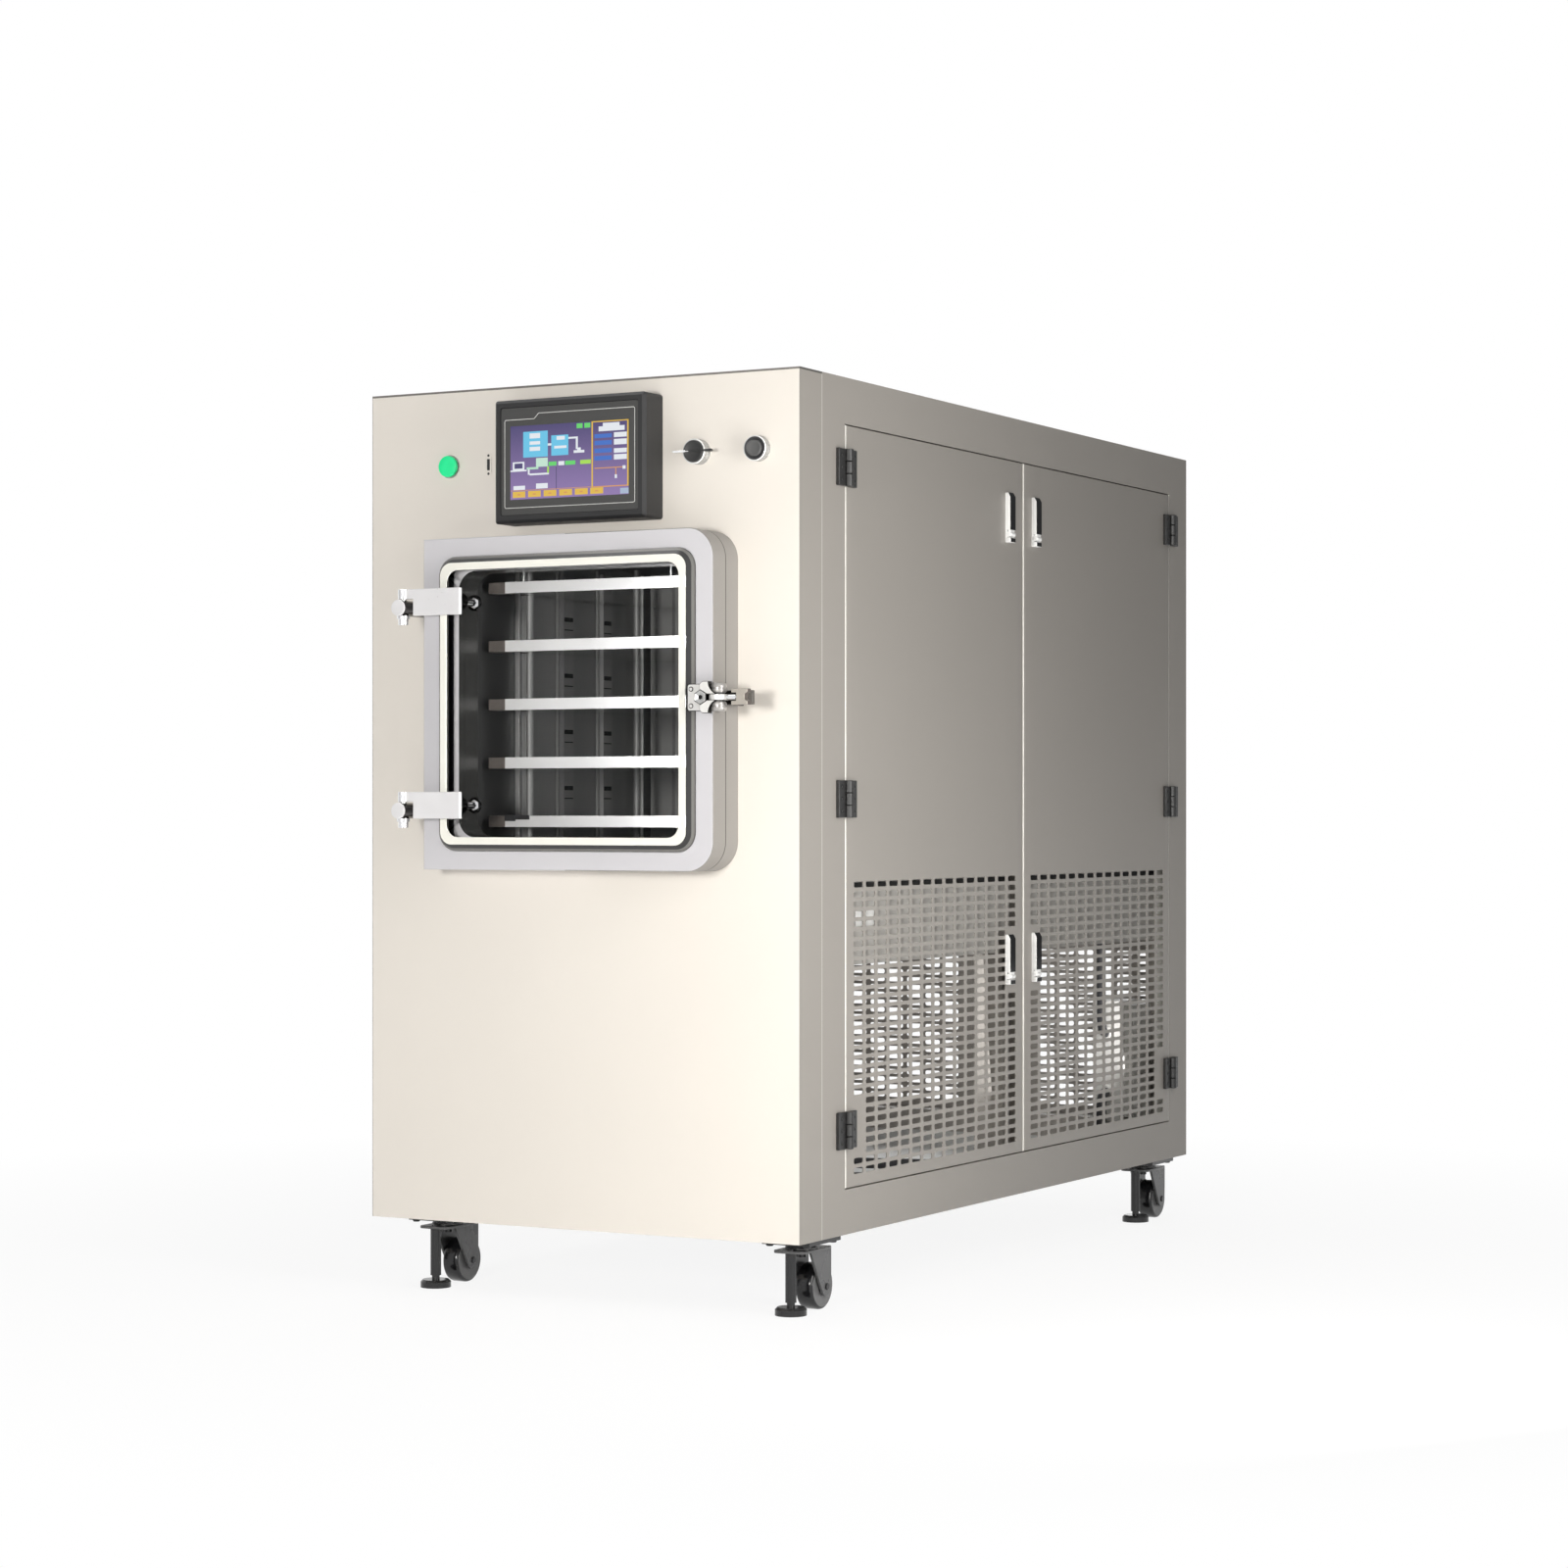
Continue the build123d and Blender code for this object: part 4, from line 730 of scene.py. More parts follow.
def slot_cell():
    """A slot with rounded corners in its share of sheet, flat in the plane of the door."""
    half_w, half_h = SLOT[0] / 2 - SLOT_CORNER, SLOT[1] / 2 - SLOT_CORNER
    edge_w, edge_h = PITCH[0] / 2, PITCH[1] / 2
    nook = SLOT_CORNER * math.sqrt(0.5)
    pairs = []
    for side, end in ((1, 1), (-1, 1), (-1, -1), (1, -1)):
        along, up = side * half_w, end * half_h
        three = [
            ((along + side * SLOT_CORNER, up), (side * edge_w, up)),
            ((along + side * nook, up + end * nook), (side * edge_w, end * edge_h)),
            ((along, up + end * SLOT_CORNER), (along, end * edge_h)),
        ]
        pairs += three if side * end > 0 else reversed(three)
    inner, outer = (
        [Vector((0, along * MM, up * MM)) for along, up in outline] for outline in zip(*pairs)
    )
    cell = disc(len(inner), fill="NOTHING")
    for vertex, place in zip(cell.data.vertices, inner):
        vertex.co = place
    with editing(cell):
        bpy.ops.mesh.select_mode(type="VERT")
        bpy.ops.mesh.select_all(action="SELECT")
        bpy.ops.mesh.extrude_edges_move()
        numbers = range(len(inner))
        place_selected(cell, lambda co: outer[min(numbers, key=lambda i: (co - inner[i]).length)])
    return cell


def slot_field(columns, rows, middle_depth, top_rise):
    """The cell repeated along a row and down the sheet, merged where the copies meet."""
    field = slot_cell()
    steps = ((columns, (0, PITCH[0], 0)), (rows, (0, 0, -PITCH[1])))
    for count, step in steps:
        modify(
            field, "ARRAY", count=count, use_relative_offset=False, use_constant_offset=True,
            constant_offset_displace=Vector(step) * MM, use_merge_vertices=True,
            merge_threshold=0.02 * MM,
        )
    field.location = spot(FACE_X, middle_depth - PITCH[0] * (columns - 1) / 2, top_rise)
    return settle(field, "slot_field")


field = slot_field(COLUMNS, ROWS, sum(DOOR_DEPTHS) / 2, TOP_ROW)
print("slots:", COLUMNS * ROWS, "faces:", len(field.data.polygons))

# %% [markdown]
# The closed slots are filled, the sheet is drawn out to the door's edges, and the edges are folded back
# with a small radius. Thickness comes last, from a Solidify modifier, so that every slot gets its wall.

# %% From the field to a folded door
Y, Z = 1, 2


def closed_slots():
    """Centres of the places in the grid that have no slot, as (depth, rise)."""
    reach = PITCH[0] * (COLUMNS - 1) / 2
    places = []
    for rise in (TOP_ROW - PITCH[1] * row for row in range(ROWS)):
        if abs(rise - HINGE_RISES[-1]) < 36:
            places.append((sum(DOOR_DEPTHS) / 2 - reach, rise))
        if abs(rise - LATCH_RISES[-1]) < 42:
            places.append((sum(DOOR_DEPTHS) / 2 + reach, rise))
    return places


def fill_slots(piece):
    reach_y, reach_z = ((size / 2 + 0.5) * MM for size in SLOT)
    with editing(piece):
        for depth, rise in closed_slots():
            centre = spot(FACE_X, depth, rise)

            def on_slot(vertex):
                offset = vertex.co - centre
                return abs(offset.y) < reach_y and abs(offset.z) < reach_z

            if pick(piece, "VERT", on_slot):
                bpy.ops.mesh.edge_face_add()


def limits(depths, rises):
    """A sheet's limits in metres, by axis."""
    low, high = spot(FACE_X, depths[0], rises[0]), spot(FACE_X, depths[1], rises[1])
    return {axis: (low[axis], high[axis]) for axis in (Y, Z)}


def on_border(edge, bounds):
    """Whether both ends of an edge lie on the same limit."""
    one, other = (vertex.co for vertex in edge.verts)
    return any(
        abs(one[axis] - limit) < TINY and abs(other[axis] - limit) < TINY
        for axis in (Y, Z) for limit in bounds[axis]
    )


def draw_out(piece, new):
    """Pulls the outer border of a sheet out to new limits."""
    places = [vertex.co.copy() for vertex in piece.data.vertices]
    old = {axis: [end(place[axis] for place in places) for end in (min, max)] for axis in (Y, Z)}

    def moved(place):
        for axis in (Y, Z):
            for was, goes in zip(old[axis], new[axis]):
                if abs(place[axis] - was) < TINY:
                    place[axis] = goes
                    break
        return place

    with editing(piece):
        pick(piece, "EDGE", lambda edge: on_border(edge, old))
        bpy.ops.mesh.extrude_edges_move()
        place_selected(piece, moved)


def fold_back(piece, bounds, reach):
    """Folds the sheet's edges back by a reach, with a small bend radius."""
    def on_bend(edge):
        xs = [vertex.co.x for vertex in edge.verts]
        return on_border(edge, bounds) and abs(sum(xs) / 2 - FACE_X * MM) < TINY

    with editing(piece):
        pick(piece, "EDGE", lambda edge: on_border(edge, bounds))
        bpy.ops.mesh.extrude_edges_move(TRANSFORM_OT_translate={"value": (-reach * MM, 0, 0)})
        pick(piece, "EDGE", on_bend)
        bpy.ops.mesh.bevel(offset=1.1 * MM, segments=3, affect="EDGES")
        face_outwards()


def thicken(piece, thickness):
    """Gives a sheet its thickness on its inner side."""
    if sum(face.normal.x * face.area for face in piece.data.polygons) < 0:
        piece.data.flip_normals()
    return smooth(modify(piece, "SOLIDIFY", thickness=thickness * MM, offset=-1.0))


fill_slots(field)
draw_out(field, limits(DOOR_DEPTHS, DOOR_RISES))
fold_back(field, limits(DOOR_DEPTHS, DOOR_RISES), 20.0)
thicken(field, SKIN)
print("door:", [round(v, 4) for v in field.dimensions], "m,", len(field.data.polygons), "faces")

# %% [markdown]
# The doors are copies and mirror images of this one. Each copy has its own mesh, is turned the right
# way out again after the mirroring, and rides on its own moving body.

# %% Four doors
MEET = 675.7


def on_each_door(stem, front, rear=None):
    """Copies of a right front door's pieces on all four doors, by the door's name."""
    made = {}
    for end, pattern, about_depth in (("front", front, None), ("rear", rear or front, MEET)):
        for side, about_x in (("right", None), ("left", 0.0)):
            door = f"{side}_{end}"
            made[door] = twin(pattern, f"{stem}_{door}", about_x, about_depth)
    for pattern in {front, rear or front}:
        bpy.data.objects.remove(pattern)
    return made.items()


for door, sheet in on_each_door("door_sheet", field):
    dress(sheet, door_sheet, f"door_{door}")
    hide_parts(f"side_door_{door}")

# %% [markdown]
# ## Door hinges
# Each hinge is a pair of black leaves round a pin: one leaf with the two outer knuckles on the post,
# and one with the middle knuckle on the door. Small pan-head screws hold them.

# %% Hinge leaves
AXIS_X = FACE_X + 6.0
HINGE_DEPTH = 122.7
LEAF = (25.0, 48.0, 5.0)


def screw(place, towards, radius, proud=0.9):
    """A small pan-head screw with a round socket."""
    rings = [(radius, 0), (radius, proud * 0.6), (radius * 0.82, proud), (radius * 0.5, proud)]
    return turned("screw", place, towards, rings + [(radius * 0.44, proud * 0.35)], sides=12)


def leaf(side, rise, starts, length, inner_x, reach, margin):
    """A leaf before (-1) or behind (1) the pin, with a knuckle and its bridge at each start."""
    def depths(*steps):
        return sorted(HINGE_DEPTH + side * step for step in steps)

    rises = (rise - LEAF[1] / 2, rise + LEAF[1] / 2)
    sheet = block("leaf", (FACE_X, FACE_X + LEAF[2]), depths(7, LEAF[0]), rises)
    parts = [soften(sheet, 0.8)]
    knuckle = [(5.2, 0), (6.0, 0.6), (6.0, length - 0.6), (5.2, length)]
    for start in (rise + step for step in starts):
        parts.append(turned("knuckle", spot(AXIS_X, HINGE_DEPTH, start), "up", knuckle, 24))
        ends = (start + margin, start + length - margin)
        parts.append(block("bridge", (FACE_X + inner_x, FACE_X + 4.6), depths(reach, 8), ends))
    for step in (-16.0, 0.0, 16.0):
        parts.append(screw(spot(FACE_X + 5.0, HINGE_DEPTH + side * 16, rise + step), "right", 3.0))
    return weld("leaf", parts)


post_leaves = [leaf(-1, rise, (-LEAF[1] / 2, 8.2), 15.8, 0.4, 1, 0.4) for rise in HINGE_RISES]
moving_leaves = [leaf(1, rise, (-7.7,), 15.4, 2.2, 2.4, 0.5) for rise in HINGE_RISES]
for door, leaves in on_each_door("post_leaves", weld("leaves", post_leaves)):
    dress(leaves, hinge_black, "cabinet")
    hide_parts("hinge_leaves")
for door, leaves in on_each_door("door_leaves", weld("leaves", moving_leaves)):
    dress(leaves, hinge_black, f"door_{door}")
print("hinges:", 4 * len(HINGE_RISES))

# %% [markdown]
# ## Door latches
# A slim body carries a straight bar on a cross pin, low down. The bar is bright metal; its outer face,
# which turns over its slanted top, is painted black as shade, and so is the face of the body's foot.
# The body's recess is made by insetting its front face and pushing it in. The front doors' latches sit
# further from the meeting edge than the rear doors' ones.

# %% Latch bodies and levers
LATCH_INSETS = (52.0, 38.0)
LATCH_WIDTH = 17.5
HALF_LATCH = LATCH_WIDTH / 2
PIVOT_OUT, PIVOT_DROP = 5.5, 24.0


def on_each_latch(stem, make):
    """A latch part made at each door's own inset, by the door's name."""
    return on_each_door(stem, *(make(MEET - inset) for inset in LATCH_INSETS))


def at_pivot(depth, rise, out=0.0):
    return spot(FACE_X + PIVOT_OUT + out, depth, rise - PIVOT_DROP)


def latch_body(depth, rise):
    """Slim body with a sunk face, a foot, two ears and the cross pin."""
    body = plate("body", rounded(LATCH_WIDTH, 71, 2), spot(FACE_X, depth, rise), "right", 2.5)
    raise_face(body, "right", 2.2, -1.5)
    sides = (depth - HALF_LATCH, depth + HALF_LATCH)
    foot = block("foot", (FACE_X + 0.5, FACE_X + 8), sides, (rise - 35.4, rise - 28.6))
    parts = [soften(body, 0.4), soften(foot, 0.9, steps=3)]
    for low, high in ((-HALF_LATCH, -6.4), (6.4, HALF_LATCH)):
        long = high - low
        rings = [(3.6, 0), (4.0, 0.3), (4.0, long - 0.3), (3.6, long)]
        parts.append(turned("ear", at_pivot(depth + high, rise, -1), "front", rings, 6))
    rings = [(2.0, 0), (2.4, 0.3), (2.4, LATCH_WIDTH - 1.1), (2.0, LATCH_WIDTH - 0.8)]
    parts.append(turned("pin", at_pivot(depth + HALF_LATCH - 0.4, rise), "front", rings, 16))
    return weld("latch_body", parts)


def pull_bar(depth, rise):
    """The lever's bright part: a hub, a neck and a straight bar with a slanted top."""
    rings = [(3.1, 0), (3.4, 0.4), (3.4, 11.6), (3.1, 12.0)]
    hub = turned("hub", at_pivot(depth + 6, rise), "front", rings, 24)
    sides = (depth - 6, depth + 6)
    neck = block("neck", (FACE_X + 3.1, FACE_X + 7.4), sides, (rise - 23, rise - 15))
    outline = [(-2.95, 6), (2.0, 6), (2.0, 53.2), (-1.2, 59.2), (-2.95, 59.2)]
    bar = plate("bar", outline, at_pivot(depth + HALF_LATCH, rise), "front", LATCH_WIDTH)
    return weld("pull_bar", [hub, neck, soften(bar, 0.4)])


def bar_front(depth, rise):
    """The lever bar's outer face, turned over the slanted top, painted black as shade."""
    outline = [(1.8, 6.4), (2.6, 6.4), (2.6, 53.4), (-0.9, 59.5), (-1.4, 59.0), (1.8, 53.1)]
    place = at_pivot(depth + HALF_LATCH - 0.3, rise)
    return soften(plate("bar_front", outline, place, "front", LATCH_WIDTH - 0.6), 0.15)


def foot_shade_face(depth, rise):
    """The face of the latch body's foot, painted black as shade."""
    sides = (depth - 8.2, depth + 8.2)
    face = block("foot_shade_face", (FACE_X + 7.9, FACE_X + 8.1), sides, (rise - 34.8, rise - 29.2))
    return soften(face, 0.08)


fixed_parts = (("latch_bodies", latch_body, handle_bright), ("latch_faces", foot_shade_face, shade_black_gloss))
for stem, make, finish in fixed_parts:
    def at_both_rises(depth):
        return weld("latch_parts", [make(depth, rise) for rise in LATCH_RISES])

    for door, piece in on_each_latch(stem, at_both_rises):
        dress(piece, finish, f"door_{door}")
for height, rise in zip(("upper", "lower"), LATCH_RISES):
    for door, bar in on_each_latch(f"pull_bar_{height}", lambda depth: pull_bar(depth, rise)):
        dress(bar, handle_bright, f"lever_{door}_{height}")
        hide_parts(f"lever_{door}_{height}")
    for door, skin in on_each_latch(f"bar_front_{height}", lambda depth: bar_front(depth, rise)):
        dress(skin, shade_black_gloss, f"lever_{door}_{height}")

# %% [markdown]
# ## Touch panel
# A dark grey case with a flat bezel, a pale line round the screen that steps down near the upper left
# corner, and a live screen. The line is a thin raised frame: its outline is filled, inset, and the
# inner face is deleted.

# %% Bezel and its pale line
PANEL_X, PANEL_RISE = 12.5, 1000.75
BEZEL_SIZE, BEZEL_DEPTH = (208.2, 139.7), -44.0
LINE_XS, LINE_RISES = (-86.2, 111.9), (939.9, 1062.2)
STEP_RISE, STEP_XS = 1055.3, (-33.8, -40.7)
LINE_CORNER, LINE_WIDTH = 2.6, 0.75

bezel_face = moulded("bezel_grey", (0.055, 0.055, 0.054), 0.45, 1600.0, 0.00002, 0.04, sheen=1.4)
line_ink = moulded("pale_line", (0.72, 0.72, 0.7), 0.5, 500.0, 0.00001, 0.03)
bezel_place = spot(PANEL_X, BEZEL_DEPTH + 3, PANEL_RISE)
bezel = soften(plate("panel_bezel", rounded(*BEZEL_SIZE, 3), bezel_place, "front", 3.0), 0.3)
dress(bezel, bezel_face, "cabinet")
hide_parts("hmi_screen")


def bridge_openings(piece):
    """Joins the two open borders that deleted faces have left."""
    pick(piece, "EDGE", lambda edge: edge.is_boundary)
    bpy.ops.mesh.bridge_edge_loops()
    face_outwards()


def bezel_line():
    """The stepped frame line, as an outline in millimetres across and in rise."""
    left, right = LINE_XS[0] + LINE_CORNER, LINE_XS[1] - LINE_CORNER
    low, high = LINE_RISES[0] + LINE_CORNER, LINE_RISES[1] - LINE_CORNER
    step = STEP_RISE - LINE_CORNER
    path = arc((right, high), LINE_CORNER, 0, 90, 4)
    path += [(STEP_XS[0], LINE_RISES[1]), (STEP_XS[1], STEP_RISE)]
    for corner, start in (((left, step), 90), ((left, low), 180), ((right, low), 270)):
        path += arc(corner, LINE_CORNER, start, start + 90, 4)
    return [(x, rise - PANEL_RISE) for x, rise in path]


line = plate("panel_line", bezel_line(), spot(0, BEZEL_DEPTH, PANEL_RISE), "front", 0.15)
with editing(line):
    pick(line, "FACE", lambda face: abs(face.normal.y) > 0.9)
    bpy.ops.mesh.inset(thickness=LINE_WIDTH * MM)
    bpy.ops.mesh.delete(type="FACE")
    bridge_openings(line)
dress(line, line_ink, "cabinet")
print("bezel", [round(v * 1000) for v in bezel.dimensions], "mm")

# %% [markdown]
# The screen shows a plain process picture of this maker's own: a chamber and a condenser as blue
# boxes, white pipes, a few green labels, a framed list of readings and a row of yellow keys. Each
# field is a flat tile with its colour in a vertex attribute, so one glowing finish serves them all.

# %% Screen tiles
SCREEN_XS, SCREEN_RISES = (-77.0, 102.5), (951.0, 1046.5)
WHITE, CYAN, BLUE, NAVY = (0.86, 0.9, 0.95), (0.14, 0.6, 0.88), (0.04, 0.16, 0.6), (0.05, 0.045, 0.13)
GREEN, LIME, MINT, MOSS = (0.13, 0.72, 0.15), (0.42, 0.8, 0.08), (0.5, 0.8, 0.6), (0.6, 0.85, 0.7)
YELLOW, ORANGE, STEEL = (0.82, 0.52, 0.06), (0.75, 0.34, 0.1), (0.42, 0.52, 0.68)
DUSK, MAUVE = (0.06, 0.045, 0.17), (0.3, 0.2, 0.46)
KEYS = (0.02, 0.152, 0.285, 0.418, 0.55, 0.68)
KEY_MARKS = [(left + 0.04, 0.055, left + 0.066, 0.075) for left in KEYS]
# Each row: a layer, a colour, and its fields as (left, low, right, high) from 0 to 1.
FIELDS = (
    (1, CYAN, [(0.11, 0.565, 0.32, 0.915), (0.35, 0.57, 0.495, 0.845)]),
    (2, WHITE, [(0.165, 0.82, 0.255, 0.89), (0.165, 0.735, 0.255, 0.78),
                (0.165, 0.65, 0.255, 0.705), (0.395, 0.78, 0.465, 0.83),
                (0.375, 0.665, 0.48, 0.7)]),
    (1, WHITE, [(0.32, 0.71, 0.35, 0.74), (0.495, 0.785, 0.575, 0.81),
                (0.558, 0.64, 0.575, 0.8), (0.54, 0.59, 0.63, 0.625),
                (0.57, 0.62, 0.6, 0.66)]),
    (1, GREEN, [(0.565, 0.92, 0.615, 0.985), (0.63, 0.92, 0.68, 0.985),
                (0.327, 0.435, 0.394, 0.49)]),
    (1, WHITE, [(0.41, 0.435, 0.46, 0.49)]),
    (1, GREEN, [(0.468, 0.435, 0.554, 0.49)]),
    (1, LIME, [(0.595, 0.435, 0.684, 0.49)]),
    (1, WHITE, [(0.0, 0.38, 0.14, 0.4), (0.02, 0.4, 0.12, 0.51)]),
    (2, DUSK, [(0.035, 0.42, 0.105, 0.49)]),
    (1, MINT, [(0.14, 0.4, 0.24, 0.43)]),
    (1, MOSS, [(0.22, 0.43, 0.32, 0.55)]),
    (1, WHITE, [(0.15, 0.33, 0.165, 0.4), (0.165, 0.32, 0.33, 0.345)]),
    (1, LIME, [(0.315, 0.34, 0.33, 0.43)]),
    (1, NAVY, [(0.39, 0.12, 0.395, 0.42)]),
    (1, YELLOW, [(0.69, 0.11, 0.702, 1.0), (0.988, 0.11, 1.0, 1.0)]),
    (1, ORANGE, [(0.69, 0.11, 1.0, 0.125)]),
    (1, YELLOW, [(0.69, 0.985, 1.0, 1.0)]),
    (1, WHITE, [(0.75, 0.86, 0.967, 0.925), (0.785, 0.925, 0.925, 0.97)]),
    (1, BLUE, [(0.715, 0.77, 0.86, 0.825), (0.715, 0.675, 0.86, 0.735),
               (0.715, 0.57, 0.86, 0.63), (0.715, 0.47, 0.86, 0.53)]),
    (1, WHITE, [(0.878, 0.77, 0.985, 0.835), (0.878, 0.67, 0.985, 0.745),
                (0.878, 0.56, 0.985, 0.62), (0.878, 0.47, 0.985, 0.54)]),
    (1, ORANGE, [(0.715, 0.36, 0.95, 0.372), (0.89, 0.25, 0.897, 0.37)]),
    (2, WHITE, [(0.95, 0.34, 0.975, 0.385), (0.885, 0.22, 0.903, 0.27)]),
    (1, WHITE, [(0.026, 0.13, 0.126, 0.185), (0.22, 0.135, 0.32, 0.205)]),
    (1, ORANGE, [(0.0, 0.118, 0.69, 0.125)]),
    (1, YELLOW, [(left, 0.025, left + 0.108, 0.108) for left in KEYS]),
    (2, ORANGE, KEY_MARKS),
    (1, STEEL, [(0.93, 0.01, 1.0, 0.085)]),
)


def tile(box, layer, lower, upper=None):
    """A flat field on the screen, in one colour or in a low and a high one."""
    left, low, right, high = box
    width, height = (end - start for start, end in (SCREEN_XS, SCREEN_RISES))
    x = SCREEN_XS[0] + width * (left + right) / 2
    rise = SCREEN_RISES[0] + height * (low + high) / 2
    place = spot(x, BEZEL_DEPTH - 0.1 - 0.05 * layer, rise)
    upright = (math.pi / 2, 0, 0)
    piece = added(bpy.ops.mesh.primitive_plane_add, size=1.0, location=place, rotation=upright)
    piece.scale = (width * (right - left) * MM, height * (high - low) * MM, 1)
    settle(piece, "tile")
    ink = piece.data.color_attributes.new("ink", "FLOAT_COLOR", "POINT")
    for vertex, value in zip(piece.data.vertices, ink.data):
        value.color = (*(upper if upper and vertex.co.z > place.z else lower), 1.0)
    return piece


tiles = [tile((0, 0, 1, 1), 0, MAUVE, DUSK)]
tiles += [tile(box, layer, colour) for layer, colour, boxes in FIELDS for box in boxes]
screen = weld("panel_screen", tiles)
glow = Finish("screen_glow", Roughness=0.2, Base_Color=(0.01, 0.01, 0.012), Emission_Strength=0.85)
glow.drive("Emission Color", glow.node("ShaderNodeVertexColor", {"layer_name": "ink"}))
dress(screen, glow, "cabinet")
print("screen tiles:", len(tiles))

# %% [markdown]
# ## Buttons and the selector
# Three round controls sit beside the panel. Their collars are turned chrome, so each is a profile
# built up ring by ring, with a rounded lip. The lip's brighter finish is a painted highlight, and the
# rest of the collar is a darker chrome, a painted shade.

# %% Collars, caps and the cross bar
CONTROL_RISE = 1004.0
GREEN_X, USB_X, SELECTOR_X, BLACK_X = -201.0, -140.0, 182.0, 269.0


def control(name, x, rings, sides=48):
    return turned(name, spot(x, 0, CONTROL_RISE), "front", rings, sides)


def ring(name, x, rings):
    """A turned piece whose end faces are taken out and bridged, so that its middle is open."""
    piece = control(name, x, rings)
    with editing(piece):
        pick(piece, "FACE", lambda face: len(face.verts) > 8)
        bpy.ops.mesh.delete(type="ONLY_FACE")
        bridge_openings(piece)
    return piece


grooves = [(16.0, 0)]
for start in (3.2, 7.6):
    grooves += [(16.0, start), (15.3, start + 0.3), (15.3, start + 1.1), (16.0, start + 1.4)]
green_profile = [(15.4, 0), (15.4, 1.4), (15.1, 2.0), (14.5, 2.0), (14.5, 0)]
selector_profile = grooves + [(16.0, 14.2), (15.6, 15.2), (14.9, 15.8), (8.0, 15.8)]
black_profile = grooves + [(16.0, 11.4), (15.6, 12.6), (14.6, 13.0), (13.2, 12.7)]
black_profile += [(12.2, 11.6), (12.2, 1.0)]
collars = weld("switch_collars_turned", [
    ring("green_collar", GREEN_X, green_profile),
    control("selector_collar", SELECTOR_X, selector_profile),
    control("black_collar", BLACK_X, black_profile),
])
dress(soften(collars, 0.1), collar_chrome_shaded, "cabinet")
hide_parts("switch_collars")

# The lips are brighter than their collars: a painted highlight.
LIP = ((15.2, 0), (16.2, 0.3), (16.2, 1.5), (15.4, 1.9), (14.8, 1.9), (13.0, -4))
lip_highlights = [
    ring("lip", x, [(radius, start + reach) for radius, reach in LIP])
    for x, start in ((SELECTOR_X, 14.2), (BLACK_X, 11.2))
]
dress(soften(weld("collar_lip_highlights", lip_highlights), 0.1), handle_bright, "cabinet")
backs = []
for x in (GREEN_X, SELECTOR_X, BLACK_X):
    backs.append(turned("back", spot(x, 26, CONTROL_RISE), "front", [(11.0, 0), (11.0, 24)], 32))
    contacts = block("contacts", (x - 15, x + 15), (24, 58), (CONTROL_RISE - 20, CONTROL_RISE + 20))
    backs.append(soften(contacts, 1.2))
dress(weld("switch_backs", backs), black_plastic, "cabinet")

green_rings = [(14.0, 3.2), (14.2, 4.2), (14.2, 6.8), (13.7, 7.6), (12.8, 8.0), (6.0, 7.8)]
green = soften(control("green_cap", GREEN_X, green_rings), 0.1)
dress(green, green_cap, "green_button")
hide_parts("green_button")
rim_rings = [(14.9, 12.2), (14.9, 13.2), (14.2, 13.8), (12.4, 13.8), (11.1, 13.2), (11.1, 8.0)]
rim_ring = soften(ring("black_rim", BLACK_X, rim_rings), 0.1)
dress(rim_ring, black_plastic, "cabinet")
cap_rings = [(10.6, 5.0), (10.6, 15.0), (10.0, 15.8), (9.2, 16.0), (7.6, 15.4), (2.0, 15.2)]
cap = soften(control("black_cap", BLACK_X, cap_rings), 0.1)
dress(cap, grey_cap, "black_button")
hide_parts("black_button")

stem = [(4.0, 1.0), (4.0, 16.2)]
face_rings = stem + [(14.0, 16.2), (14.0, 18.2), (13.2, 19.0)]
face_rings += [(11.6, 19.0), (11.0, 18.5), (3.0, 18.5)]
face = soften(control("selector_face", SELECTOR_X, face_rings), 0.1)
dress(face, dark_cap, "selector")
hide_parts("selector_lever")
left_half = [
    (-28.5, 0.9), (-28.5, -0.9), (-26.5, -1.5), (-10.5, -1.4),
    (-9.0, -0.6), (-9.0, 0.6), (-10.5, 1.4), (-26.5, 1.5),
]
right_half = [(13.2, 1.0), (13.2, -1.0), (26.5, -2.0), (28.5, -1.3), (28.5, 1.3), (26.5, 2.0)]
rib = [(-10.0, 0.5), (-10.0, -0.5), (14.0, -0.5), (14.0, 0.5)]
bar_parts = ((left_half, -17.0, 4.4, 0.4), (right_half, -16.6, 4.0, 0.5), (rib, -18.4, 1.2, 0.2))
bar = weld("selector_bar", [
    soften(plate("half", outline, spot(SELECTOR_X, depth, CONTROL_RISE), "front", thickness), edge)
    for outline, depth, thickness, edge in bar_parts
])
two_tone = Finish("bar_half_bright", IOR=1.48)
bright_half = two_tone.axes()[0] < (SELECTOR_X - 6) * MM
two_tone.drive("Base Color", two_tone.blend(bright_half, (0.02, 0.02, 0.02), (0.9, 0.9, 0.9)))
two_tone.drive("Metallic", bright_half * 0.9)
two_tone.drive("Roughness", 0.3 - 0.12 * bright_half)
dress(bar, two_tone, "selector")
print("controls at", CONTROL_RISE, "mm rise")

# %% [markdown]
# Between the green button and the panel is a slim service socket: a pale bezel with a dark upright
# slot, and a small screw above and below it.

# %% Service socket
socket_plate = plate("service_plate", rounded(9.5, 32, 3), spot(USB_X, 0, CONTROL_RISE), "front", 0.4)
dress(soften(socket_plate, 0.1), cabinet_sheet, "cabinet")
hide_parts("usb_port")
slot_place = spot(USB_X, -0.3, CONTROL_RISE)
slot_dark = plate("service_slot", rounded(4.2, 15, 1), slot_place, "front", 0.45)
raise_face(slot_dark, "front", 0.5, 0.0, 0.2)
dress(slot_dark, dark_cap, "cabinet")
screws = [
    screw(spot(USB_X, -0.3, CONTROL_RISE + step), "front", 1.7, 0.8) for step in (-12.0, 12.0)
]
dress(weld("service_screws", screws), dark_cap, "cabinet")
print("socket", [round(v * 1000, 1) for v in socket_plate.dimensions], "mm")
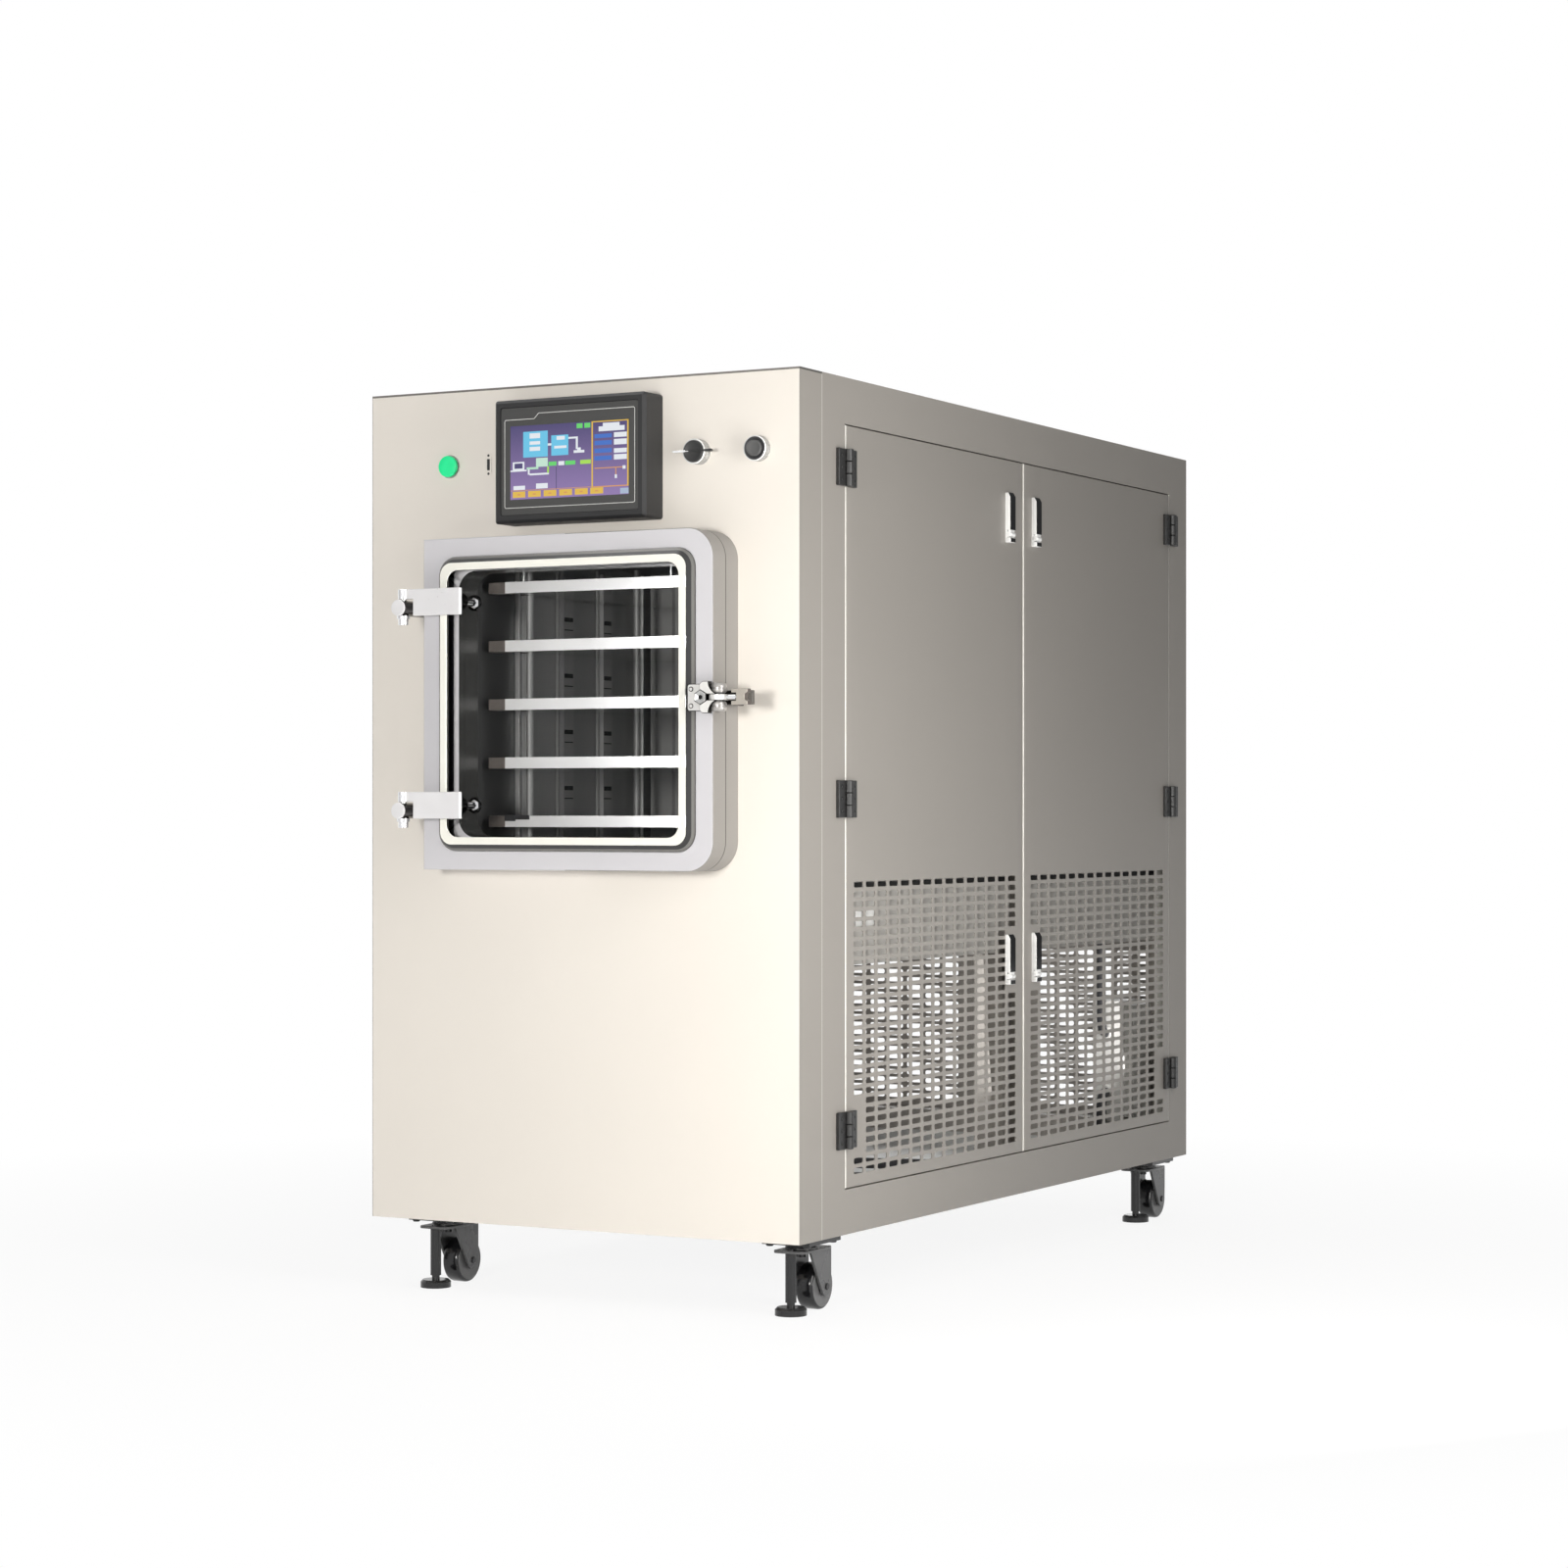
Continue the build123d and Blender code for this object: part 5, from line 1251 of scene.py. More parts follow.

# %% [markdown]
# ## Chamber door
# The door is a thick enamelled slab with a clear pane let into it. Inside the opening the steel is
# bare, and its tone is painted nearly black as shade, so the enamel's recipe turns into polished steel
# wherever a point lies inside the throat. The slab's right flank is painted a darker warm grey, also as
# shade.
# The pane is a thick block: clear inside its cream ring, and outside it painted dark as the shade that
# one sees looking into the bevelled edge.

# %% Enamel, throat and pane
PARTING_DEPTH = -32.0
FLANK = (218.2, 215.7, 37.2)


def outside_rounded(finish, half_width, half_height, radius):
    """1 outside a rounded rectangle round the chamber's axis, and 0 inside it."""
    across, _, up = finish.axes()
    centre = spot(CHAMBER_X, 0, CHAMBER_RISE)
    past_side = (abs(across - centre.x) - (half_width - radius) * MM).larger(0.0)
    past_end = (abs(up - centre.z) - (half_height - radius) * MM).larger(0.0)
    return (past_side * past_side + past_end * past_end) > (radius * MM) ** 2


door_enamel = Finish("door_enamel_and_steel", IOR=1.48)
across, back, _ = door_enamel.axes()
enamel = outside_rounded(door_enamel, 176.6, 174.6, 25.6)
tone = door_enamel.noise(6.0, 3.0)
paint = door_enamel.blend(tone, (0.56, 0.55, 0.575), (0.62, 0.61, 0.635))
rightwards = across - CHAMBER_X * MM
# The slab's right flank takes a darker warm grey: painted shade. The line on it is the dark parting
# joint.
flank_shade = outside_rounded(door_enamel, *FLANK) * (rightwards > 0.0) + (rightwards < -FLANK[0] * MM)
paint = door_enamel.blend(flank_shade, paint, (0.235, 0.223, 0.21))
parting = abs(back - spot(0, PARTING_DEPTH, 0).y) < 0.9 * MM
paint = door_enamel.blend(flank_shade * parting, paint, (0.09, 0.085, 0.08))
# Inside the throat the bare steel is painted nearly black: painted shade.
steel = door_enamel.blend(tone, (0.024, 0.024, 0.023), (0.04, 0.04, 0.038))
door_enamel.drive("Base Color", door_enamel.blend(enamel, steel, paint))
door_enamel.drive("Metallic", 0.5 - 0.5 * enamel)
door_enamel.drive("Roughness", 0.22 + 0.2 * enamel + 0.06 * tone)
door_enamel.bump(door_enamel.noise(520.0, 2.0), 0.12, 0.00004)

clear = Finish("clear_block", IOR=1.49)
rim = outside_rounded(clear, 184.6, 183.1, 17.0)
border = outside_rounded(clear, 190.0, 188.5, 22.0)
# Outside the cream ring the pane is painted dark, darkest next to the ring: the shade seen in its
# bevelled edge.
bevel_shade_tone = clear.blend(border, (0.028, 0.028, 0.028), (0.17, 0.165, 0.155))
clear.drive("Base Color", clear.blend(rim, (0.05, 0.055, 0.055), bevel_shade_tone))
clear.drive("Metallic", 0.3 * border)
clear.drive("Roughness", 0.05 + 0.12 * rim)
clear.drive("Alpha", 0.02 + 0.98 * rim)
print("the flank starts", FLANK[0], "mm from the chamber's middle")

# %% [markdown]
# ## Hinges of the chamber door
# Two posts stand out of the front sheet, with bright ends and shafts painted dark as shade. A flat arm
# hangs on each, and a stud with a dark washer and a pointed cap nut clamps the arm through the pane.
# The posts are turned; the arm's knuckle wraps the upright pin and the post's end fills the notch below
# it.

# %% Arms, posts and cap nuts
ARM_RISES = (818.6, 553.5)
POST_DROP = 7.0
PIVOT_X, PIVOT_DEPTH, STUD_X = -214.0, -90.0, -134.0
ARM_OUTLINE = [(0, 4.4), (0, 17.5), (90, 17.5), (90, -17.5), (17, -17.5), (17, 4.4)]
# Each row: the piece that it belongs to, x, depth, how far above the arm's middle it starts, the way
# it points, its sides and its rings.
STEEL_PARTS = (
    ("seats", STUD_X, -74, 0, "front", 32, [(11.0, 0), (11.0, 12.0), (10.0, 13.0)]),
    ("seats", STUD_X, -44, 0, "back", 32, [(10.5, 0), (10.5, 2.4), (9.8, 3.0), (6.5, 3.0)]),
    ("knuckles", PIVOT_X, PIVOT_DEPTH, 4.2, "up", 32,
     [(6.4, 0), (7.0, 0.7), (7.0, 12.6), (6.4, 13.3)]),
    ("knuckles", STUD_X, -44, 0, "front", 20, [(5.0, 0), (5.0, 30.0)]),
    ("nuts", STUD_X, -44.3, 0, "back", 6,
     [(7.2, 0), (7.8, 0.5), (7.8, 6.6), (6.8, 7.6), (3.6, 8.8), (1.0, 9.2)]),
    ("shafts", PIVOT_X, 0, -POST_DROP, "front", 40,
     [(13.5, 0), (13.5, 5.2), (12.8, 6.0), (10.3, 6.0), (10.3, 101.2)]),
    ("ends", PIVOT_X, 0, -POST_DROP, "front", 40,
     [(10.5, 101.0), (10.5, 102.4), (9.9, 103.0), (1.0, 103.0)]),
    ("posts", PIVOT_X, PIVOT_DEPTH, -22.0, "up", 24,
     [(3.6, 0), (4.0, 0.6), (4.0, 38.5), (3.4, 39.3)]),
    ("posts", PIVOT_X, PIVOT_DEPTH, -29.4, "up", 32, [(6.0, 0), (6.6, 0.6), (6.6, 8.0)]),
    ("posts", PIVOT_X, PIVOT_DEPTH, -21.6, "up", 32, [(8.0, 0), (8.5, 0.5), (8.5, 4.4), (8.0, 4.9)]),
)

groups = {row[0]: [] for row in STEEL_PARTS}
arms = []
for rise in ARM_RISES:
    arm = plate("arm", ARM_OUTLINE, spot(PIVOT_X, PIVOT_DEPTH + 3, rise), "front", 6.0)
    arms.append(soften(arm, 0.9))
    for group, x, depth, step, towards, sides, rings in STEEL_PARTS:
        groups[group].append(turned(group, spot(x, depth, rise + step), towards, rings, sides))
arm_piece = dress(weld("hinge_arms_bright", arms), satin_chrome, "chamber_door")
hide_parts("hinge_arms")
for name, group, finish, body in (
    ("hinge_knuckles", "knuckles", chrome, "chamber_door"),
    ("hinge_washers", "seats", black_washer_and_shade, "chamber_door"),
    ("hinge_cap_nuts", "nuts", chrome, "chamber_door"),
    ("hinge_posts_turned", "posts", chrome, "cabinet"),
    ("hinge_post_shafts", "shafts", shaded_shaft_chrome, "cabinet"),
):
    piece = dress(smooth(weld(name, groups[group])), finish, body)
    if group == "posts":
        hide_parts("hinge_posts")
dress(weld("hinge_post_ends", groups["ends"]), satin_chrome, "cabinet")
print("hinge pins stand", -PIVOT_DEPTH, "mm in front of the sheet")

# %% [markdown]
# ## Chamber latch
# A star-shaped clamp plate is screwed to the door. Its two hollow flanks leave a point in the middle,
# two round lobes carry the swing rod's pin, and the rod lies in an H-shaped keeper beside the door.
# The clamp's body is near black round its lighter faces, a painted dark outline of shade, and its lobes
# and boss are darker copies of its metal, also painted shade. The keeper's sides are painted dark brown
# as its shadow, and its supports behind it are painted dark as shade.

# %% Clamp plate, rod and keeper
LATCH_RISE = 688.0
PLATE_X, PIN_X, PIN_DEPTH = 209.0, 252.0, -74.0
KEEPER_X = 286.5
ROD_SLOT = (239.0, 262.0)


def at_latch(x, depth, step=0.0):
    return spot(x, depth, LATCH_RISE + step)


def latch_block(name, xs, depths, half_height, edge=0.0):
    """A box centred on the latch's height, with softened edges if asked."""
    made = block(name, xs, depths, (LATCH_RISE - half_height, LATCH_RISE + half_height))
    return soften(made, edge) if edge else made


def star_outline():
    """The clamp's front outline: shoulders, two concave flanks and a blunt point."""
    upper = [(22.0, 16.5), (25.5, 19.4), (28.0, 20.0), (35.0, 20.0)]
    upper += arc((52.0, 20.5), 17.5, 190, 262, 6) + [(50.5, 1.4)]
    return upper[::-1] + [(x, -y) for x, y in upper]


def face_of(piece, border=0.7, height=0.7):
    """The front of a plate, inset by a border and raised into a thin face of its own."""
    with editing(piece):
        pick(piece, "FACE", lambda face: face.normal.y < -0.9)
        bpy.ops.mesh.inset(thickness=border * MM)
        bpy.ops.mesh.duplicate()
        bpy.ops.mesh.separate(type="SELECTED")
    made = next(o for o in bpy.context.selected_objects if o is not piece)
    with editing(made):
        bpy.ops.mesh.select_all(action="SELECT")
        push(y=-height)
        face_outwards()
    return made


base = plate("clamp_base", rounded(27, 34, 3.5), at_latch(PLATE_X + 13.5, -75), "front", 3.0)
star = plate("clamp_star", star_outline(), at_latch(PLATE_X, -77.5), "front", 8.9)
base_face, star_face = face_of(base), face_of(star)
web = latch_block("clamp_web", (231, 244.6), (-84, -66), 17)
for solid in (star, star_face, web):
    cut(solid, latch_block("rod_slot", ROD_SLOT, (-92, -60), 4.3))
faces = [soften(face, 0.25) for face in (base_face, star_face)]
parts = [soften(base, 0.2), soften(star, 0.2)]
parts += [latch_block("clamp_foot", (213.5, 236), (-75.5, -64), 14, 1.0), soften(web, 1.0)]
for step in (-10.5, 10.5):
    rings = [(2.2, 0), (2.2, 0.5), (1.6, 0.7)]
    socket = turned("socket", at_latch(PLATE_X + 5.6, -79.2, step), "front", rings, 20)
    faces.append(soften(socket, 0.1))
    rings = [(3.2, 0), (3.2, 0.7), (2.9, 0.9)]
    parts.append(turned("ring", at_latch(PLATE_X + 5.6, -78.4, step), "front", rings, 20))
# The clamp's body and the rings round its screws are near black round the lighter faces: a painted dark
# outline of shade.
clamp = dress(weld("latch_clamp", parts), black_washer_and_shade, "chamber_door")
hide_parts("latch_plate")

lobe = [(7.5, 0), (9.4, 1.4), (10.0, 4.0), (10.0, 5.4), (9.0, 5.8), (9.0, 7.2)]
lobe += [(10.0, 7.6), (9.6, 10.4), (8.2, 12.4), (5.0, 13.4)]
lobes = [turned("lobe", at_latch(PIN_X, PIN_DEPTH, 5), "up", lobe)]
lobes.append(turned("lobe", at_latch(PIN_X, PIN_DEPTH, -5), "down", lobe))
dress(smooth(weld("latch_lobes", lobes)), clamp_grey_shaded, "chamber_door")
dress(weld("latch_faces", faces), clamp_chrome, "chamber_door")
# A larger near-black hexagon under the boss is a painted dark outline.
seat = turned("boss_seat", at_latch(PLATE_X + 24, -86.6), "front", [(9.8, 0), (9.8, 1.0)], 6)
dress(seat, black_washer_and_shade, "chamber_door")
boss_rings = [(8.8, 0), (8.8, 1.4), (8.0, 2.0), (0.6, -0.8)]
boss = turned("latch_boss", at_latch(PLATE_X + 24, -87.4), "front", boss_rings, 6)
dress(boss, collar_chrome_shaded, "chamber_door")
pin_rings = [(2.0, 0), (2.5, 0.5), (2.5, 34.7), (2.0, 35.2)]
pin = [turned("pin", at_latch(PIN_X, PIN_DEPTH, -17.6), "up", pin_rings, 16)]
for step in (3.7, -4.9):
    pin.append(turned("spacer", at_latch(PIN_X, PIN_DEPTH, step), "up", [(8.0, 0), (8.0, 1.2)], 24))
dress(weld("latch_pin", pin), black_metal, "chamber_door")

rod_rings = [(3.4, 0), (3.4, 19.0), (3.0, 20.6), (2.2, 21.6)]
swing_rod = turned("latch_swing_rod", at_latch(PIN_X + 6, PIN_DEPTH), "right", rod_rings, 24)
dress(swing_rod, chrome, "latch_rod")
eye_rings = [(11.8, 0), (12.4, 0.6), (12.4, 6.4), (11.8, 7.0)]
eye = turned("rod_eye", at_latch(PIN_X, PIN_DEPTH, -3.5), "up", eye_rings, 56)
dress(soften(eye, 0.1), clamp_chrome, "latch_rod")
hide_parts("latch_rod")

waist = [(11.5, -5.6), (8.6, -4.2), (7.2, -2.8), (7.2, 2.8), (8.6, 4.2), (11.5, 5.6)]
fork_side = [(-11.5, 5.2), (-4.6, 5.2), (-4.6, -5.2), (-11.5, -5.2)]
h_outline = [(-11.5, -10), (11.5, -10), *waist, (11.5, 10), (-11.5, 10), *fork_side]
keeper = plate("latch_keeper_h", h_outline, at_latch(KEEPER_X, PIN_DEPTH), "front", 10.0)
# The keeper's supports are in the dark chrome: painted shade behind its notch.
keeper_back = [
    latch_block("arm", (244, 250), (-54, -6), 9, 0.8),
    latch_block("root", (238.2, 246), (-25, -6.5), 9, 0.8),
    latch_block("bridge", (246, 290), (-56, -50), 9, 0.8),
    latch_block("neck", (282.0, 289.5), (-74.5, -52), 9, 0.6),
]
dress(weld("latch_keeper_back", keeper_back), shaded_shaft_chrome, "cabinet")
# The keeper's sides behind its front face are painted dark brown: its shadow.
warm_plate = Finish("warm_plate_and_shadow_sides", Metallic=0.3)
worn = warm_plate.noise(90.0, 3.0)
sides = warm_plate.axes()[1] > at_latch(0, PIN_DEPTH - 9.2).y
warm_front = warm_plate.blend(worn, (0.36, 0.33, 0.29), (0.42, 0.385, 0.34))
warm_plate.drive("Base Color", warm_plate.blend(sides, warm_front, (0.1, 0.085, 0.075)))
warm_plate.drive("Roughness", 0.32 + 0.1 * worn)
dress(soften(keeper, 0.7, 30.0), warm_plate, "cabinet")
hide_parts("latch_keeper")
print("latch parts:", len(parts) + len(faces) + len(lobes) + len(pin) + len(keeper_back) + 5)

# %% [markdown]
# ## Inside the chamber
# Slotted uprights line both inner walls, and each shelf ends in dark brackets. The uprights are folded
# strips, so each is a box whose front face is inset and raised, with a slot below every shelf. Each
# slot is a black block, a painted shade that stands for the hole.

# %% Wall uprights and shelf brackets
SHELF_RISES = [843.5 - 77.8 * i for i in range(5)]
WALL_RISES = (487, 885)
STRIP_DEPTHS = ((131, 150), (227, 253), (332, 355))
STRIP_FACE = -166.3

bracket_brown = plated("dark_bracket", (0.2, 0.178, 0.162), 0.3, metallic=0.4)
front_white = plated(
    "bright_shelf_front", (0.82, 0.82, 0.82), 0.34, ACROSS, metallic=0.25, wiped=0.01
)
# The slots are black blocks: painted shade in place of holes.
uprights, slots = [], []
for low, high in STRIP_DEPTHS:
    upright = block("upright", (-176, -172), (low - 5, high + 5), WALL_RISES)
    raise_face(upright, "right", 5, 6)
    uprights.append(soften(upright, 0.5))
    depths = (low + 2, high - 2)
    for rise in SHELF_RISES:
        for end, top, bottom in ((-165.7, 29, 35), (-165.8, 45.5, 47)):
            slots.append(block("slot", (STRIP_FACE, end), depths, (rise - bottom, rise - top)))
wall_parts = (
    (weld("wall_uprights_left", uprights), "wall_uprights_right", baffle_metal),
    (weld("upright_slots_left", slots), "upright_slots_right", shade_black_gloss),
)
for left, right_name, finish in wall_parts:
    for piece in (left, twin(left, right_name, about_x=CHAMBER_X)):
        dress(piece, finish, "cabinet")
edges = [
    soften(block("edge", (-176.5, -170), (depth, depth + 2.4), WALL_RISES), 0.4)
    for depth in (120, 447)
]
dress(weld("wall_edges_left", edges), zinc, "cabinet")

brackets, fronts = [], []
for rise in SHELF_RISES:
    for xs in ((-166, -139.2), (177.2, 204)):
        brackets.append(soften(block("bracket", xs, (38.6, 62), (rise - 7.4, rise + 7.4)), 0.8))
    front = block("front", (-139, 177), (37.6, 39), (rise - 7.5, rise + 7.5))
    fronts.append(soften(front, 0.4))
dress(weld("shelf_brackets", brackets), bracket_brown, "cabinet")
dress(weld("shelf_fronts", fronts), front_white, "cabinet")
low_shelf = SHELF_RISES[-1]
clip = weld("sensor_clip", [
    block("clip", (-139, -122), (36.4, 37.6), (low_shelf + 0.5, low_shelf + 8.5)),
    block("lead", (-122, -100), (36.4, 37.6), (low_shelf + 2.5, low_shelf + 8.5)),
])
dress(soften(clip, 0.3), black_plastic, "cabinet")
hanger_rings = [(1.6, 0), (1.6, 14.0), (1.2, 14.4)]
hangers = [
    turned("hanger", spot(x, 52, SHELF_RISES[0] + 7), "up", hanger_rings, 12) for x in (-118, 109)
]
dress(weld("shelf_hangers", hangers), zinc, "cabinet")
print("uprights:", len(slots), "slots a side")

# %% [markdown]
# ## Casters
# Four swivel casters with a screw foot. The wheel is turned as one profile: a crowned tread, a recessed
# side and a raised hub. Each part is made once, for the front left corner, and copied to all four.

# %% Wheels and their bolts
CASTER_XS = {"left": -251.5, "right": 292.5}
CASTER_DEPTHS = {"front": 68.5, "rear": 1202.5}
FIRST_X, FIRST_DEPTH = CASTER_XS["left"], CASTER_DEPTHS["front"]
TRAIL = 34.5
AXLE_RISE = 30.0 - 95.0
WHEEL_WIDTH, CAP_REACH = 26.0, 18.6

fork_grey = moulded("fork_enamel", (0.085, 0.085, 0.087), 0.28, 700.0, 0.00002)
disc_grey = moulded("wheel_side", (0.12, 0.12, 0.122), 0.36, 300.0, 0.00003)


def on_axle(name, step, towards, rings, sides):
    """A turned piece on the first caster's axle, a step to the right of its middle."""
    place = spot(FIRST_X + step, FIRST_DEPTH + TRAIL, AXLE_RISE)
    return turned(name, place, towards, rings, sides)


half_wheel = [(9.5, 0), (10.4, 0.4), (11.5, 2.8), (20.0, 2.8), (23.0, 1.0), (27.6, 1.0), (29.3, 2.4)]
wheel_rings = half_wheel + [(30.0, 5.0), (30.0, 21.0)]
wheel_rings += [(radius, WHEEL_WIDTH - reach) for radius, reach in half_wheel[::-1]]
wheel = soften(on_axle("wheel", -WHEEL_WIDTH / 2, "right", wheel_rings, 56), 0.2)
side_rings = [(8.0, 0), (26.0, 0), (26.4, 0.3), (26.4, 2.0)]
discs = weld("discs", [
    on_axle("disc", -12.6, "right", side_rings, 48), on_axle("disc", 12.6, "left", side_rings, 48),
])
cap_rings = [(4.4, 0), (4.4, 1.3), (3.6, 1.8), (1.6, 1.8)]
caps = weld("caps", [
    on_axle("cap", CAP_REACH, "right", cap_rings, 24),
    on_axle("cap", -CAP_REACH, "left", cap_rings, 24),
])
foot_rings = [(7.2, 0), (7.2, 36.8), (6.6, 37.2)]
foot_screw = smooth(turned("foot_screw", spot(FIRST_X, FIRST_DEPTH - 28.5, -54), "up", foot_rings))
bolts = weld("bolts", [
    screw(spot(FIRST_X + x, FIRST_DEPTH + depth, -5), "down", 5.0, proud=2.8)
    for x in (-27, 27) for depth in (-35, 35)
])


def swivel_fork(x, depth):
    """A bearing, a flat plate for the foot's screw, and two cheeks down to the axle."""
    bearing = [(20, 0), (21, 0.6), (21, 2.6), (20, 3.4)]
    head = turned("head", spot(x, depth, -13.5), "up", bearing, 40)
    lower = plate("fork_plate", rounded(46, 78, 7), spot(x, depth + 2.5, -16.6), "up", 3.6)
    outline = [(-9, -15), (-9, -13.4), (46.5, -13.4), (47.5, -15), (47.5, -45)]
    outline += arc((TRAIL, AXLE_RISE), 12.4, -4, -154, 10)
    cheeks = [
        plate("cheek", outline, spot(x + side, depth, 0), "right", 4.0) for side in (14.5, -18.5)
    ]
    return weld("fork", [head] + [soften(piece, 0.7) for piece in [lower] + cheeks])


fork = swivel_fork(FIRST_X, FIRST_DEPTH)
# Each row: the first corner's piece, the name of its copies, its finish, its body and its slot.
CORNER_PIECES = (
    (wheel, "wheel_tyre", tyre_black, "wheel", "wheel_black"),
    (fork, "swivel_fork", fork_grey, "fork", "black_metal"),
    (discs, "wheel_discs", disc_grey, "wheel", "wheel_black"),
    (caps, "axle_caps", black_metal, "fork", "black_metal"),
    (foot_screw, "foot_nut", black_metal, "foot", "black_metal"),
    (bolts, "plate_bolts", black_metal, "cabinet", "black_metal"),
)
for front, depth in CASTER_DEPTHS.items():
    for side, x in CASTER_XS.items():
        corner = f"{front}_{side}"
        for pattern, stem, finish, body, slot in CORNER_PIECES:
            piece = twin(pattern, f"{stem}_{corner}", move=(x - FIRST_X, depth - FIRST_DEPTH, 0))
            dress(piece, finish, body if body == "cabinet" else f"{body}_{corner}")
            if pattern is wheel:
                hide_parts(f"caster_wheel_{corner}")
            if pattern is fork:
                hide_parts(f"caster_fork_{corner}")
for row in CORNER_PIECES:
    bpy.data.objects.remove(row[0])

# %% [markdown]
# ## Rear grilles
# The two air openings in the back carry the same perforated sheet as the doors. The slot cell is
# repeated into a smaller field, its border is drawn out, and the field is swung round to face back.

# %% Grilles behind the rear openings
VENT_XS = (55.0, 288.0)
VENT_RISES = (64.0, 330.0)
GRILLE_DEPTH, GRILLE_REACH = 1298.0, 122.0
GRILLE_COLUMNS, GRILLE_ROWS = 6, 20

top_rise = sum(VENT_RISES) / 2 + PITCH[1] * (GRILLE_ROWS - 1) / 2
grille = slot_field(GRILLE_COLUMNS, GRILLE_ROWS, 0.0, top_rise)
edge_rises = (VENT_RISES[0] - 5, VENT_RISES[1] + 5)
draw_out(grille, limits((-GRILLE_REACH, GRILLE_REACH), edge_rises))
thicken(grille, 1.0)
place = spot(sum(VENT_XS) / 2, GRILLE_DEPTH, 0) - Vector((0, 0, UNDERSIDE))
turn = Matrix.Rotation(math.radians(90.0), 4, "Z")
start = Matrix.Translation((-FACE_X * MM, -FRONT, 0))
grille.data.transform(Matrix.Translation(place) @ turn @ start)
name_it(grille, "rear_grille_right")
for piece in (grille, twin(grille, "rear_grille_left", about_x=0.0)):
    dress(piece, frame_sheet, "cabinet")
print("grille", [round(v, 3) for v in grille.dimensions])

# %% [markdown]
# ## Behind the service doors
# The machinery is seen through the slots and when a door is open: pipes run between the compressor,
# the condenser and the cold trap, and a hose joins the pump to the chamber. A pipe starts as one ring
# at its first point, and is drawn out along a path whose corners are rounded first.

# %% Pipes and hoses
CURVE_STEPS = 5
RIB = 1.12


def rounded_path(points, radius):
    """A path in millimetres with each corner replaced by a short curve."""
    path = [Vector(points[0])]
    for before, corner, after in zip(points, points[1:], points[2:]):
        before, corner, after = Vector(before), Vector(corner), Vector(after)
        start = corner + (before - corner).normalized() * radius
        end = corner + (after - corner).normalized() * radius
        for t in (i / CURVE_STEPS for i in range(CURVE_STEPS + 1)):
            path.append(start * (1 - t) ** 2 + corner * 2 * t * (1 - t) + end * t * t)
    return path + [Vector(points[-1])]


def ribbed(path, step):
    """The path with more points, a step in millimetres apart."""
    fine = []
    for start, end in zip(path, path[1:]):
        count = max(1, round((end - start).length / (step * MM)))
        fine += [start.lerp(end, i / count) for i in range(count)]
    return fine + [path[-1]]


def pipe(name, points, radius, bend, sides=14, waves=None):
    """A round pipe along a path given as (across, depth, rise); waves make it a ribbed hose."""
    path = [spot(*point) for point in rounded_path(points, bend)]
    if waves:
        path = ribbed(path, waves)
    tube = disc(sides, radius * MM)
    heading = (path[1] - path[0]).normalized()
    turn = Vector((0, 0, 1)).rotation_difference(heading)
    tube.data.transform(Matrix.Translation(path[0]) @ turn.to_matrix().to_4x4())
    with editing(tube):
        bpy.ops.mesh.select_all(action="SELECT")
        for i in range(1, len(path)):
            ahead = (path[min(i + 1, len(path) - 1)] - path[i - 1]).normalized()
            swing = heading.rotation_difference(ahead)
            heading = ahead
            grow = 1.0 if not waves else RIB if i % 2 else 1 / RIB
            push(*(path[i] - path[i - 1]) / MM)
            place_selected(tube, lambda co: path[i] + swing @ ((co - path[i]) * grow))
        face_outwards()
    return smooth(settle(tube, name), 50.0)


discharge_path = [(-180, 690, 208), (-180, 640, 208), (-270, 640, 208), (-270, 830, 208)]
discharge = pipe("discharge", discharge_path + [(-270, 830, 262), (-270, 864, 262)], 5.0, 18)
liquid_path = [(-258, 1118, 24), (-258, 1150, 24), (-235, 1150, 24), (-235, 1150, 449)]
liquid = pipe("liquid", liquid_path, 4.0, 10)
drier_rings = [(4.2, 0), (14, 12), (14, 86), (4.2, 98)]
drier = turned("drier", spot(-235, 1150, 110), "up", drier_rings, 20)
pipes = weld("refrigerant_pipes", [discharge, liquid, drier])
dress(pipes, copper, "cabinet")
suction_path = [(-66, 770, 150), (-30, 770, 150), (-30, 770, 449)]
suction = pipe("suction_line", suction_path, 12.0, 24, 16)
dress(suction, rubber_foam, "cabinet")
hose_path = [(-185, 250, 222), (-185, 250, 330), (-60, 250, 330), (-60, 250, 449)]
hose = pipe("vacuum_hose", hose_path, 15.0, 45, 18, waves=4.0)
hose_grey = moulded("hose_grey", (0.16, 0.165, 0.17), 0.45, 300.0, 0.00005)
dress(hose, hose_grey, "cabinet")
drain_path = [(60, 560, 449), (60, 560, 200), (20, 500, 120), (20, 500, 8)]
drain = pipe("drain_hose", drain_path, 9.0, 30)
dress(drain, hose_grey, "cabinet")
main_path = [(262, 1150, 110), (262, 1110, 110), (262, 1110, 20), (150, 1090, 20)]
main_path += [(150, 800, 20), (-60, 740, 20)]
branch_path = [(262, 1150, 200), (262, 1110, 200), (262, 1110, 400), (262, 1110, 449)]
pump_path = [(150, 800, 20), (120, 600, 20), (-60, 520, 20), (-100, 500, 60)]
cables = ((main_path, 8.0), (branch_path, 7.0), (pump_path, 6.0))
loom = weld("cable_loom", [pipe("cable", path, radius, 25, 12) for path, radius in cables])
dress(loom, black_plastic, "cabinet")
print("pipe faces:", sum(len(o.data.polygons) for o in (pipes, suction, hose, drain, loom)))

# %% Pump, compressor and condenser details
FIN_TURNS = range(30, 360, 30)

